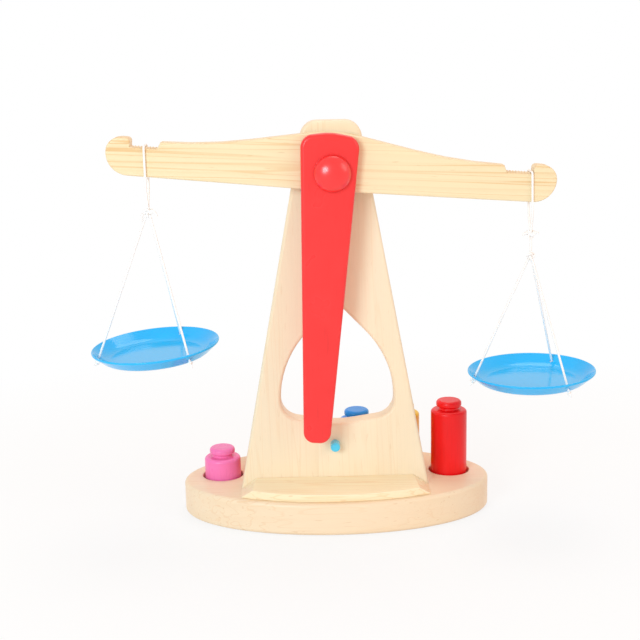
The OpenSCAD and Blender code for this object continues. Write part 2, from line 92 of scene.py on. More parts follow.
# Upright, whose foot stands in the base
UPRIGHT_FRONT, UPRIGHT_BACK = -28.0, -11.0
FOOT_LEFT, FOOT_RIGHT, FOOT_SUNK = -77.0, 74.0, 4.0
TOP_HALF, TOP_Z, TOP_ROUND = 21.5, 318.0, 13.0
SUNK_SHARE = FOOT_SUNK / (TOP_Z - BASE_TOP)
UPRIGHT = [(FOOT_LEFT + (FOOT_LEFT + TOP_HALF) * SUNK_SHARE, BASE_TOP - FOOT_SUNK, 0),
           (FOOT_RIGHT + (FOOT_RIGHT - TOP_HALF) * SUNK_SHARE, BASE_TOP - FOOT_SUNK, 0),
           (TOP_HALF, TOP_Z, TOP_ROUND), (-TOP_HALF, TOP_Z, TOP_ROUND)]
WINDOW = [(1.5, 78, 90), (46.5, 85, 31.5), (46.5, 131, 160), (1.5, 178, 8.1),
          (-43.5, 131, 160), (-43.5, 85, 31.5)]

# Beam, drawn level on the pivot. One side is drawn from the belly round the nose to the peak.
BEAM_TILT = 5.0
BEAM_FRONT, BEAM_BACK = -45.8, -30.8
BEAM_END, NOSE_IN, NOTCH_IN, NOTCH_FLOOR = 169.0, 151.0, 130.5, 9.0
NOSE_TOP, ARM_TOP = 15.5, 13.5
BEAM_SIDE = [(BEAM_END, -12.5, 17), (BEAM_END, NOSE_TOP, 11), (NOSE_IN, NOSE_TOP, 3),
             (NOSE_IN, NOTCH_FLOOR, 0), (NOTCH_IN, NOTCH_FLOOR, 0), (128.5, ARM_TOP, 0), (95, ARM_TOP, 400)]
BEAM_BELLY, BEAM_PEAK = (0, -14.5, 120), (0, 31, 120)
TEETH, TOOTH_DEPTH, TOOTH_MARGIN, TOOTH_LAND, TOOTH_OVER = 9, 1.0, 0.4, 0.06, 0.4
TEETH_OUT = NOSE_IN - TOOTH_MARGIN
TOOTH_PITCH = (TEETH_OUT - NOTCH_IN) / TEETH
GRAIN_LEAN = 0.035

# Pointer and pegs
POINTER_TURN = 3.6
POINTER_FRONT = -55.8
POINTER = [(-12.75, -210, 8.5), (7.75, -210, 8.5), (19.75, 26.5, 10), (-2.5, 30, 45), (-24.75, 26.5, 10)]
KNOB_BACK, KNOB_RIM, KNOB_EASE, KNOB_EASE_MID = -56.1, 1.5, 0.5, 0.15
SHANK_R, SHANK_CHAMFER = 5.0, 0.6
PEG_FOOT_ROUND, PEG_TIP_ROUND = 0.6, 1.6

# Hanging sets, from the tops of their loops
HANG_Y = (BEAM_FRONT + BEAM_BACK) / 2
LEFT_HANG = (-139.166, HANG_Y, 302.958)
RIGHT_HANG = (149.764, HANG_Y, 277.680)
RIGHT_LEAN = 1.25
LEFT_GATHER_DROP, RIGHT_KNOT_DROP, RIGHT_GATHER_DROP = 50.0, 48.0, 65.0
LOOP_SIDE, LOOP_STRAIGHT, LOOP_END = 8.8, 31.0, 1.08
LOOP_TOP_R, LOOP_BEND_R = 1.8, 14.0
LOOP_DROPS = {"left": 46.5, "right": 46.0}
LINK_IN_TOP, LINK_IN_FOOT = 2.0, 3.2

# Cords and knots. A loose end is given by its bend and its tip, from the middle of its knot.
CORD_GROOVE = 0.10
TWIST_STEPS, PLY_SIDES = 12.0, 6.0
KNOT_FLAT_SHARE = 0.42
CORD_RING_R, CORD_RING_Z = 1.8, -2.0
CORD_TURNS = {"side": 0, "back": 240, "front": 120}
CORD_HOLE_R, CORD_HOLE_LOW, CORD_HOLE_HIGH = 1.5, -4.0, 12.0
KNOT_TURNS = {"left_gather_knot": 20, "right_loop_knot": -15, "right_gather_knot": 40}
KNOT_ENDS = {"left_gather_knot": [((-5, -2, 1), (-5.5, -3, -6)), ((5, -2, 3), (6.5, -2.5, -3))],
             "right_loop_knot": [((-4, -1, 2.5), (-6.5, -2, -0.5)), ((4, -1, 2.5), (5.5, -2, 0.5))],
             "right_gather_knot": []}
STOPPER_R, STOPPER_Z, STOPPER_TURN = 45.5, -8.721, 35
STOPPER_CORD_SHARE = 0.8
STOPPER_BEND_OUT, STOPPER_BEND_DOWN, STOPPER_TIP_OUT, STOPPER_TIP_DOWN = 1.6, 1.6, 2.2, 3.2

# Pans, with the section of a pan as (across, up, radius)
PAN_DROPS = {"left": 152.0, "right": 154.0}
PAN_TILTS = {"left": -4.0, "right": -1.0}
PAN_PITCHES = {"left": 2.0, "right": 0.5}
PAN_TURNS = {"left": 190, "right": 178}
PAN_DEPTH = 11.0
PAN_SECTION = [(0, 0, 0), (39, 0, 12), (49.5, 9, 0.6), (49.5, 11, 0.6), (39, 2, 12), (0, 2, 0)]

# Weights as (place across, top), and their turned form
WEIGHTS = {"pink": (-94, 50), "orange": (-56.4, 57.2), "green": (-18.8, 64.4),
           "blue": (18.8, 71.6), "yellow": (56.4, 78.8), "red": (94, 86)}
WEIGHT_FOOT, WEIGHT_R, WEIGHT_FOOT_ROUND = 18.3, 14.8, 1.6
HEAD_H, NECK_RISE, NECK_H, CROWN_RISE = 8.0, 0.3, 2.4, 0.001
NECK_R, NECK_TOP_R, GRIP_R = 8.2, 8.0, 10.4
NECK_ROUND, UNDERCUT_ROUND = 0.9, 0.6
ROW_RADIUS, ROW_MID_Y = 171.786, 36.0

# Wood. A pattern is scaled by (along, across) the grain, and a noise is spread by (from, from, to, to).
RING_DRAW, PATCH_DRAW, STREAK_DRAW = (0.09, 1.0), (5, 30), (3.2, 170)
FIBRE_DRAW, CLOUD_DRAW, PORE_DRAW = (26, 950), (4, 22), (70, 620)
CLOUD_TINT, LINE_TINT, PORE_TINT = (0.985, 0.955, 0.91), (0.86, 0.60, 0.36), (0.72, 0.50, 0.30)
PATCH_SPREAD, LINE_SPREAD = (0.35, 0.7, 0.25, 1.0), (0.008, 0.03, 1.0, 0.0)
PORE_SPREAD = (0.69, 0.75, 0.0, 1.0)
WAVE_PERIOD = 0.314
LATE_START, LATE_FULL, LATE_LAST, LATE_SHARE = 0.35, 0.94, 0.25, 0.28
STAVE_START_SHARE, STAVE_DARKEST, STAVE_JUMP = 0.31, 0.945, 0.35
FIBRE_DARKEST, PORE_DEPTH_SHARE = 0.972, 0.8
NOISE_LOW, NOISE_HIGH = 0.3, 0.7

# Paint, plastic, cotton and steel
PAINT_DRAW, PAINT_CLOUD_TINT = (45, 620), (0.93, 0.86, 0.86)
SPECK_SPREAD, SPECK_TINT = (0.56, 0.74, 0.0, 0.35), (0.78, 0.70, 0.70)
GLOSS_LESS, GLOSS_MORE, PEEL_SHARE = 0.04, 0.05, 0.35
KNOB_TINT, PAN_CLOUD_TINT = (1.0, 0.5, 0.5), (1.15, 1.06, 1.03)
COTTON_CLOUD_TINT = (0.985, 0.975, 0.975)
FLUFF_SPREAD, FLUFF_TINT = (0.35, 0.65, 0.15, 0.0), (0.95, 0.94, 0.93)
TURNING_DRAW, TURNING_TINT = (900, 900, 5200), (0.82, 0.81, 0.80)

# Studio, in metres: each lamp's size, place and colour
LAMPS = {"key": (0.62, (-0.70, -1.36, 0.64), (0.66, 0.95, 1.06)),
         "fill": (0.9, (1.25, -0.75, 0.85), (1.0, 0.93, 0.88)),
         "top": (0.9, (0.15, 0.50, 1.50), (1.0, 0.95, 0.92))}
LAMPS_AIM = (0, 0, 0.17)
ROOM_COLOUR = (1.0, 0.78, 0.66, 1)
PAPER_COLOUR, WHITE = (0.9, 0.9, 0.9, 1), (1, 1, 1, 1)
PAPER_NEAR, PAPER_FAR, PAPER_GLOW_SHARE = 0.15, 0.55, 0.78
FLOOR_R, FLOOR_DROP = 4.0, 0.0002

# Camera: its picture's width in millimetres, and the nearest thing that it sees in metres
PICTURE_WIDTH, CLIP_START = 36.0, 0.02


def length_prop(name, description, default, low, high):
    """A size in metres with the limits of its slider."""
    return bpy.props.FloatProperty(name=name, description=description, default=default, min=low, max=high,
                                   subtype="DISTANCE", unit="LENGTH", precision=4)


def colour_prop(name, description, default):
    """A colour of one finish."""
    return bpy.props.FloatVectorProperty(name=name, description=description, default=default, size=3,
                                         min=0.0, max=1.0, subtype="COLOR")


class ScaleSizes(bpy.types.PropertyGroup):
    """Sizes of the dressed pieces."""

    upright_edge: length_prop("Upright edge", "Rounding along the upright and its window",
                              0.0026, 0.0005, 0.005)
    beam_edge: length_prop("Beam edge", "Rounding along the beam", 0.0013, 0.0004, 0.002)
    pointer_edge: length_prop("Pointer edge", "Rounding along the pointer", 0.0028, 0.0005, 0.0045)
    base_edge: length_prop("Base edge", "Rounding of the base's rim", 0.0030, 0.001, 0.006)
    batten_edge: length_prop("Batten edge", "Softening of the batten's edges", 0.0006, 0.0002, 0.0008)
    socket_edge: length_prop("Socket edge", "Rounding of the sockets' mouths", 0.0009, 0.0002, 0.0014)
    weight_round: length_prop("Weight shoulder", "Rounding of the weights' shoulders", 0.0026, 0.001, 0.004)
    grip_round: length_prop("Grip edge", "Rounding of the weights' grips", 0.0026, 0.001, 0.0028)
    cord: length_prop("Cord", "Thickness of the cords", 0.0018, 0.001, 0.0024)
    cord_turn: length_prop("Twist", "Length of cord in one turn of its plies", 0.0052, 0.002, 0.02)
    knot: length_prop("Knot", "Width of the gather knots", 0.008, 0.006, 0.009)
    stopper: length_prop("Stopper knot", "Width of the knots under the pans", 0.005, 0.004, 0.0065)
    plies: bpy.props.IntProperty(name="Plies", description="Strands twisted into a cord",
                                 default=3, min=2, max=5)


class ScaleColours(bpy.types.PropertyGroup):
    """Colours of the finishes."""

    beam_wood: colour_prop("Beam wood", "Straw-coloured wood of the beam", (0.875, 0.735, 0.485))
    board_wood: colour_prop("Board wood", "Cream wood of the upright", (0.95, 0.805, 0.595))
    base_wood: colour_prop("Base wood", "Cream wood of the base", (0.955, 0.77, 0.56))
    batten_wood: colour_prop("Batten wood", "Honey-coloured wood of the batten", (0.98, 0.85, 0.60))
    lacquer: colour_prop("Red lacquer", "Lacquer of the pointer and the knob", (0.90, 0.035, 0.035))
    pan: colour_prop("Pans", "Moulded plastic of the pans", (0.012, 0.46, 0.95))
    peg: colour_prop("Index peg", "Paint of the index peg", (0.08, 0.66, 0.97))
    cotton: colour_prop("Cotton", "Cords and knots", (0.99, 0.985, 0.98))
    steel: colour_prop("Screws", "Plated steel of the screws", (0.62, 0.61, 0.58))
    pink: colour_prop("Pink weight", "Paint of the smallest weight", (0.97, 0.21, 0.51))
    orange: colour_prop("Orange weight", "Paint of the second weight", (0.90, 0.30, 0.03))
    green: colour_prop("Green weight", "Paint of the third weight", (0.10, 0.50, 0.11))
    blue: colour_prop("Blue weight", "Paint of the fourth weight", (0.02, 0.30, 0.92))
    yellow: colour_prop("Yellow weight", "Paint of the fifth weight", (0.98, 0.72, 0.02))
    red: colour_prop("Red weight", "Paint of the largest weight", (0.92, 0.008, 0.010))


class ScaleStage(bpy.types.PropertyGroup):
    """Camera and studio light."""

    lens: bpy.props.FloatProperty(name="Lens", description="Focal length on a 36 mm wide picture",
                                  default=69.94, min=20, max=200, subtype="DISTANCE_CAMERA", unit="CAMERA")
    away: length_prop("Distance", "Camera's distance from what it looks at", 1.0, 0.3, 5.0)
    turn: bpy.props.FloatProperty(name="Turn", description="Camera's turn round the object",
                                  default=math.radians(-0.5), subtype="ANGLE", unit="ROTATION")
    rise: bpy.props.FloatProperty(name="Rise", description="Camera's angle above the floor",
                                  default=math.radians(12.96), subtype="ANGLE", unit="ROTATION")
    roll: bpy.props.FloatProperty(name="Roll", description="Camera's roll, right side of the picture up",
                                  default=math.radians(-1.2), subtype="ANGLE", unit="ROTATION")
    aim: bpy.props.FloatVectorProperty(name="Aim", description="Point in the middle of the picture",
                                       default=(-0.0108, 0.0, 0.1575), subtype="XYZ", unit="LENGTH")
    key: bpy.props.FloatProperty(name="Key light", description="Power of the large lamp at the front left",
                                 default=11.8, min=0, max=100, subtype="POWER", unit="POWER")
    fill: bpy.props.FloatProperty(name="Fill light", description="Power of the lamp at the right",
                                  default=4.0, min=0, max=100, subtype="POWER", unit="POWER")
    top: bpy.props.FloatProperty(name="Top light", description="Power of the lamp above and behind",
                                 default=5.0, min=0, max=100, subtype="POWER", unit="POWER")
    room: bpy.props.FloatProperty(name="Room light", description="Even light from all sides",
                                  default=0.76, min=0, max=1, subtype="FACTOR")


class ScaleSettings(bpy.types.PropertyGroup):
    """All settings of the balance scale."""

    sizes: bpy.props.PointerProperty(type=ScaleSizes)
    colours: bpy.props.PointerProperty(type=ScaleColours)
    stage: bpy.props.PointerProperty(type=ScaleStage)


# Meshes

def rounded(corners, closed=True, step=5.0):
    """Points of an outline whose corners (across, up, radius) are rounded by arcs."""
    count = len(corners)
    spots = [Vector(c[:2]) for c in corners]

    def ways(i):
        return (spots[i - 1] - spots[i]).normalized(), (spots[(i + 1) % count] - spots[i]).normalized()

    halves = [math.acos(max(-1.0, min(1.0, ways(i)[0].dot(ways(i)[1])))) / 2 for i in range(count)]
    reach = [c[2] / math.tan(h) if c[2] else 0.0 for c, h in zip(corners, halves)]
    points = []
    for i, (spot, half) in enumerate(zip(spots, halves)):
        if not corners[i][2] or (not closed and i in (0, count - 1)):
            points.append(spot)
            continue
        fit = 1.0
        for j in (i - 1, (i + 1) % count):
            side = (spots[j] - spot).length
            if reach[i] + reach[j] > side:
                fit = min(fit, side / (reach[i] + reach[j]))
        radius = corners[i][2] * fit
        back, ahead = ways(i)
        centre = spot + (back + ahead).normalized() * radius / math.sin(half)
        start = spot + back * radius / math.tan(half) - centre
        turn = math.copysign(math.pi - 2 * half, -back.cross(ahead))
        steps = max(2, math.ceil(math.degrees(abs(turn)) / step))
        for k in range(steps + 1):
            points.append(centre + Matrix.Rotation(turn * k / steps, 2) @ start)
    return points


def circle(radius, sides=48):
    """Points of a hole, clockwise."""
    return [Vector((radius * math.cos(-2 * math.pi * k / sides), radius * math.sin(-2 * math.pi * k / sides)))
            for k in range(sides)]


def show(name, mesh, material):
    """Puts a mesh in the scene as a piece with one material."""
    piece = bpy.data.objects.new(name, mesh)
    bpy.context.scene.collection.objects.link(piece)
    mesh.materials.clear()
    mesh.materials.append(material)
    return piece


def settle(piece):
    """Turns a piece's modifiers into its plain mesh."""
    depsgraph = bpy.context.evaluated_depsgraph_get()
    made = bpy.data.meshes.new_from_object(piece.evaluated_get(depsgraph), preserve_all_data_layers=True,
                                           depsgraph=depsgraph)
    piece.modifiers.clear()
    piece.data = made
    return piece


def soften(piece, sharp=40.0):
    """Shades a piece smooth up to an angle, and keeps its flat faces flat."""
    piece.data.shade_smooth()
    piece.data.set_sharp_from_angle(angle=math.radians(sharp))
    even = piece.modifiers.new("Even faces", "WEIGHTED_NORMAL")
    even.keep_sharp = True
    return settle(piece)


def board(name, outline, holes, front, back, edge, material, place=None):
    """A board that stands on edge, with rounded edges. Outline and faces are in millimetres."""
    line = bpy.data.curves.new(name, "CURVE")
    line.dimensions = "2D"
    line.fill_mode = "BOTH"
    line.extrude = (back - front) * MM / 2 - edge
    line.bevel_depth = edge
    line.bevel_resolution = 4
    line.offset = -edge
    for points in [outline, *holes]:
        spline = line.splines.new("POLY")
        spline.points.add(len(points) - 1)
        for point, spot in zip(spline.points, points):
            point.co = (spot[0] * MM, spot[1] * MM, 0, 1)
        spline.use_cyclic_u = True
    drawn = bpy.data.objects.new(name + "_outline", line)
    bpy.context.scene.collection.objects.link(drawn)
    depsgraph = bpy.context.evaluated_depsgraph_get()
    mesh = bpy.data.meshes.new_from_object(drawn.evaluated_get(depsgraph), depsgraph=depsgraph)
    bpy.data.objects.remove(drawn)
    bpy.data.curves.remove(line)
    bm = bmesh.new()
    bm.from_mesh(mesh)
    bmesh.ops.remove_doubles(bm, verts=bm.verts, dist=1e-6)
    bmesh.ops.recalc_face_normals(bm, faces=bm.faces)
    stand = Matrix.Translation((0, (front + back) / 2 * MM, 0)) @ Matrix.Rotation(math.pi / 2, 4, "X")
    bm.transform((place or Matrix.Identity(4)) @ stand)
    bm.to_mesh(mesh)
    bm.free()
    return soften(show(name, mesh, material))


def bridge(bm, low, high):
    """Joins two rings of points by faces. A ring of one point is a pole."""
    sides = max(len(low), len(high))
    for k in range(sides):
        n = (k + 1) % sides
        if len(low) == 1:
            bm.faces.new((low[0], high[n], high[k]))
        elif len(high) == 1:
            bm.faces.new((low[k], low[n], high[0]))
        else:
            bm.faces.new((low[k], low[n], high[n], high[k]))


def ring(bm, half_w, half_d, height, sides, place):
    """Adds a level ring of points to a mesh, oval or round, in millimetres."""
    angles = [2 * math.pi * k / sides for k in range(sides)]
    spots = [Vector((half_w * MM * math.cos(a), half_d * MM * math.sin(a), height * MM)) for a in angles]
    return [bm.verts.new(place @ spot) for spot in spots]


def lathe(bm, profile, sides, place):
    """Adds a turned form to a mesh from (radius, height) points in millimetres, foot first."""
    rings = []
    for radius, height in profile:
        if radius < 1e-6:
            rings.append([bm.verts.new(place @ Vector((0, 0, height * MM)))])
        else:
            rings.append(ring(bm, radius, radius, height, sides, place))
    for low, high in zip(rings, rings[1:]):
        bridge(bm, low, high)


def quarter(steps):
    """Angles of a quarter turn in even steps, with both ends."""
    return [math.pi / 2 * k / steps for k in range(steps + 1)]


def turned(name, profile, material, place, sides=96, sharp=50.0):
    """A piece turned on a lathe."""
    mesh = mesh_of(name, lambda bm: lathe(bm, profile, sides, place))
    return soften(show(name, mesh, material), sharp)


def cut(piece, cutter_mesh):
    """Takes the form of a cutter out of a piece."""
    tool = bpy.data.objects.new("cutter", cutter_mesh)
    bpy.context.scene.collection.objects.link(tool)
    hollow = piece.modifiers.new("Hollow", "BOOLEAN")
    hollow.operation = "DIFFERENCE"
    hollow.solver = "EXACT"
    hollow.object = tool
    settle(piece)
    bpy.data.objects.remove(tool)
    bpy.data.meshes.remove(cutter_mesh)


def mesh_of(name, fill):
    """A mesh filled by a function that draws in a bmesh."""
    bm = bmesh.new()
    fill(bm)
    bmesh.ops.recalc_face_normals(bm, faces=bm.faces)
    mesh = bpy.data.meshes.new(name)
    bm.to_mesh(mesh)
    bm.free()
    return mesh


def at(x, y, z):
    """A place given in millimetres."""
    return Matrix.Translation(Vector((x, y, z)) * MM)


def toward_viewer(x, y, z):
    """A place whose height axis points to the front."""
    return at(x, y, z) @ Matrix.Rotation(math.pi / 2, 4, "X")


def on_pivot(angle):
    """A place on the pivot, turned with the beam or the pointer."""
    return at(*PIVOT) @ Matrix.Rotation(math.radians(angle), 4, "Y")


def dress(piece, body, slot, *nodes):
    """Sets a finished piece on its body and hides the solids it stands for. The slot argument is not used."""
    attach(piece, body)
    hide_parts(*nodes)


def repaint(node, material):
    """Gives its finish to a solid that no other piece stands for."""
    mesh = frame["nodes"][node].data
    mesh.materials.clear()
    mesh.materials.append(material)


# Materials

class NodeTree:
    """A node tree whose nodes are added one call at a time."""

    def __init__(self, tree):
        self.tree = tree

    def node(self, kind, inputs=None, **settings):
        """Adds a node with its settings, and a value or a link for each input."""
        made = self.tree.nodes.new(kind)
        for key, value in settings.items():
            setattr(made, key, value)
        for key, value in (inputs or {}).items():
            self.set(made.inputs[key], value)
        return made

    def set(self, socket, value):
        """Gives an input a value, or a link from another node."""
        if isinstance(value, bpy.types.NodeSocket):
            self.tree.links.new(value, socket)
        else:
            socket.default_value = value

    def math(self, operation, a, b=0.0):
        """One step of arithmetic."""
        return self.node("ShaderNodeMath", {0: a, 1: b}, operation=operation).outputs[0]

    def spread(self, value, low, high, to_low, to_high):
        """A range of a value, spread between two others."""
        return self.node("ShaderNodeMapRange", {"Value": value, "From Min": low, "From Max": high,
                                                "To Min": to_low, "To Max": to_high}).outputs["Result"]

    def in_sight(self):
        """1 where the camera sees a surface directly or in a reflection, else 0."""
        ray = self.node("ShaderNodeLightPath")
        return self.math("MAXIMUM", ray.outputs["Is Camera Ray"], ray.outputs["Is Glossy Ray"])


class Finish(NodeTree):
    """A material and the steps that give it colour, gloss and relief."""

    def __init__(self, name):
        self.material = bpy.data.materials.new(name)
        self.material.use_nodes = True
        super().__init__(self.material.node_tree)
        self.shader = self.tree.nodes["Principled BSDF"]
        self.coords = self.node("ShaderNodeTexCoord").outputs["Object"]

    def stretched(self, vector, scale, turn=(0, 0, 0), shift=(0, 0, 0)):
        """Coordinates that are scaled, turned and moved."""
        return self.node("ShaderNodeMapping", {"Vector": vector, "Scale": scale, "Rotation": turn,
                                               "Location": shift}).outputs["Vector"]

    def noise(self, vector, scale, detail=2.0, rough=0.5):
        """An even noise."""
        return self.node("ShaderNodeTexNoise", {"Vector": vector, "Scale": scale, "Detail": detail,
                                                "Roughness": rough}).outputs["Fac"]

    def middle(self, noise, to_low=0.0, to_high=1.0):
        """The middle range of a noise, spread between two values."""
        return self.spread(noise, NOISE_LOW, NOISE_HIGH, to_low, to_high)

    def grain(self, vector, axis, draw, detail=1.0, rough=0.5):
        """A noise drawn out along the grain."""
        return self.noise(self.stretched(vector, along_grain(axis, *draw)), 1.0, detail, rough)

    def mix(self, share, a, b, blend="MIX"):
        """Two colours, mixed by a share of the second."""
        made = self.node("ShaderNodeMix", data_type="RGBA", blend_type=blend)
        self.set(made.inputs["Factor"], share)
        self.set(made.inputs["A"], a if isinstance(a, bpy.types.NodeSocket) else (*a, 1.0))
        self.set(made.inputs["B"], b if isinstance(b, bpy.types.NodeSocket) else (*b, 1.0))
        return made.outputs["Result"]

    def relief(self, height, strength, depth):
        """Fine relief on the surface."""
        bump = self.node("ShaderNodeBump", {"Height": height, "Strength": strength, "Distance": depth})
        self.set(self.shader.inputs["Normal"], bump.outputs["Normal"])

    def surface(self, values):
        """Fills the named inputs of the material's shader."""
        for key, value in values.items():
            self.set(self.shader.inputs[key], value)


def tinted(colour, tint):
    """A colour with its channels scaled."""
    return tuple(min(1.0, c * t) for c, t in zip(colour, tint))


def along_grain(axis, along, across):
    """A scale that draws a pattern out along the grain."""
    return tuple(along if i == "XYZ".index(axis) else across for i in range(3))


def staves(finish, axis, width):
    """Coordinates that jump from one glued stave to the next, and a tint for each stave."""
    across = "X" if axis == "Z" else "Y"
    spot = finish.node("ShaderNodeSeparateXYZ", {"Vector": finish.coords}).outputs[across]
    start = finish.math("ADD", spot, STAVE_START_SHARE * width)
    strip = finish.math("FLOOR", finish.math("DIVIDE", start, width))
    chance = finish.node("ShaderNodeTexWhiteNoise", {"W": strip}, noise_dimensions="1D")
    tint = finish.spread(chance.outputs["Value"], 0.0, 1.0, STAVE_DARKEST, 1.0)
    jump = finish.node("ShaderNodeVectorMath", {0: chance.outputs["Color"], "Scale": STAVE_JUMP},
                       operation="SCALE").outputs["Vector"]
    moved = finish.node("ShaderNodeVectorMath", {0: finish.coords, 1: jump}, operation="ADD")
    return moved.outputs["Vector"], tint


def grain_lines(finish, vector, axis, ring_gap, wander):
    """Late wood of the growth rings and thin lines along the grain, stronger in patches."""
    drawn = finish.stretched(vector, along_grain(axis, *RING_DRAW))
    rings = finish.node("ShaderNodeTexWave",
                        {"Vector": drawn, "Scale": WAVE_PERIOD / ring_gap, "Distortion": wander,
                         "Detail": 2.0, "Detail Scale": 1.6, "Detail Roughness": 0.55},
                        wave_type="RINGS", rings_direction=axis, wave_profile="SAW")
    late = finish.node("ShaderNodeValToRGB", {"Fac": rings.outputs["Fac"]})
    first, full = late.color_ramp.elements
    first.position, first.color = LATE_START, (0, 0, 0, 1)
    full.position, full.color = LATE_FULL, WHITE
    late.color_ramp.elements.new(1.0).color = (LATE_LAST, LATE_LAST, LATE_LAST, 1)
    patchy = finish.spread(finish.grain(vector, axis, PATCH_DRAW), *PATCH_SPREAD)
    streak = finish.grain(vector, axis, STREAK_DRAW)
    contour = finish.math("ABSOLUTE", finish.math("SUBTRACT", streak, 0.5))
    thin = finish.spread(contour, *LINE_SPREAD)
    lines = finish.math("MAXIMUM", finish.math("MULTIPLY", late.outputs["Color"], LATE_SHARE), thin)
    return finish.math("MULTIPLY", lines, patchy)


def wood(name, colour, axis, ring_gap, turn=(0, 0, 0), pith=(0, 0, 0), line=0.5, wander=3.0, stave=0.0,
         pore=0.3):
    """Clear-lacquered wood: growth rings, fibres, pores and, in glued boards, staves of their own tint."""
    finish = Finish(name)
    vector, tint = staves(finish, axis, stave) if stave else (finish.coords, 1.0)
    straight = finish.stretched(vector, (1, 1, 1), turn, pith)
    line_share = finish.math("MULTIPLY", grain_lines(finish, straight, axis, ring_gap, wander), line)
    fibre = finish.grain(straight, axis, FIBRE_DRAW, detail=3.0, rough=0.6)
    cloud = finish.grain(straight, axis, CLOUD_DRAW, detail=2.0)
    pores = finish.spread(finish.grain(straight, axis, PORE_DRAW), *PORE_SPREAD)
    body = finish.mix(finish.middle(cloud), colour, tinted(colour, CLOUD_TINT))
    body = finish.mix(line_share, body, tinted(colour, LINE_TINT))
    body = finish.mix(finish.math("MULTIPLY", pores, pore), body, tinted(colour, PORE_TINT))
    shade = finish.math("MULTIPLY", finish.middle(fibre, FIBRE_DARKEST, 1.0), tint)
    body = finish.mix(1.0, body, shade, "MULTIPLY")
    finish.surface({"Base Color": body, "Roughness": finish.middle(fibre, 0.40, 0.52),
                    "Specular IOR Level": 0.35, "Coat Weight": 0.12, "Coat Roughness": 0.25})
    height = finish.math("SUBTRACT", fibre, finish.math("MULTIPLY", pores, PORE_DEPTH_SHARE))
    finish.relief(height, strength=0.10, depth=0.0003)
    return finish.material


def paint(name, colour, axis="Z", gloss=0.3, coat=0.35):
    """Enamel over wood: faint orange peel, grain that shows through and slight changes of depth."""
    finish = Finish(name)
    cloud = finish.noise(finish.coords, scale=38.0)
    fibre = finish.grain(finish.coords, axis, PAINT_DRAW, detail=2.0)
    peel = finish.noise(finish.coords, scale=1500.0, detail=1.0)
    body = finish.mix(finish.middle(cloud), colour, tinted(colour, PAINT_CLOUD_TINT))
    specks = finish.spread(fibre, *SPECK_SPREAD)
    body = finish.mix(specks, body, tinted(colour, SPECK_TINT))
    finish.surface({"Base Color": body, "Coat Weight": coat, "Coat Roughness": 0.2, "Specular IOR Level": 0.3,
                    "Roughness": finish.middle(cloud, gloss - GLOSS_LESS, gloss + GLOSS_MORE)})
    height = finish.math("ADD", finish.math("MULTIPLY", peel, PEEL_SHARE), fibre)
    finish.relief(height, strength=0.06, depth=0.0003)
    return finish.material


def plastic(name, colour):
    """Moulded plastic with a soft gloss and a faint flow pattern."""
    finish = Finish(name)
    cloud = finish.noise(finish.coords, scale=30.0)
    flow = finish.noise(finish.coords, scale=2400.0)
    body = finish.mix(finish.middle(cloud), colour, tinted(colour, PAN_CLOUD_TINT))
    finish.surface({"Base Color": body, "Roughness": finish.middle(cloud, 0.10, 0.14),
                    "Specular IOR Level": 0.4})
    finish.relief(flow, strength=0.03, depth=0.0002)
    return finish.material


def cotton(name, colour):
    """Soft white cotton with loose fibres."""
    finish = Finish(name)
    fluff = finish.noise(finish.coords, scale=2600.0, detail=3.0, rough=0.65)
    cloud = finish.noise(finish.coords, scale=160.0)
    body = finish.mix(finish.middle(cloud), colour, tinted(colour, COTTON_CLOUD_TINT))
    body = finish.mix(finish.spread(fluff, *FLUFF_SPREAD), body, tinted(colour, FLUFF_TINT))
    finish.surface({"Base Color": body, "Roughness": 0.92, "Sheen Weight": 0.4, "Sheen Roughness": 0.5,
                    "Specular IOR Level": 0.2})
    finish.relief(fluff, strength=0.08, depth=0.0002)
    return finish.material


def steel(name, colour):
    """Plated steel with fine turning marks."""
    finish = Finish(name)
    marks = finish.noise(finish.stretched(finish.coords, TURNING_DRAW), scale=1.0)
    finish.surface({"Base Color": finish.mix(marks, colour, tinted(colour, TURNING_TINT)),
                    "Metallic": 1.0, "Roughness": finish.middle(marks, 0.28, 0.42)})
    finish.relief(marks, strength=0.05, depth=0.0001)
    return finish.material


# Geometry Nodes

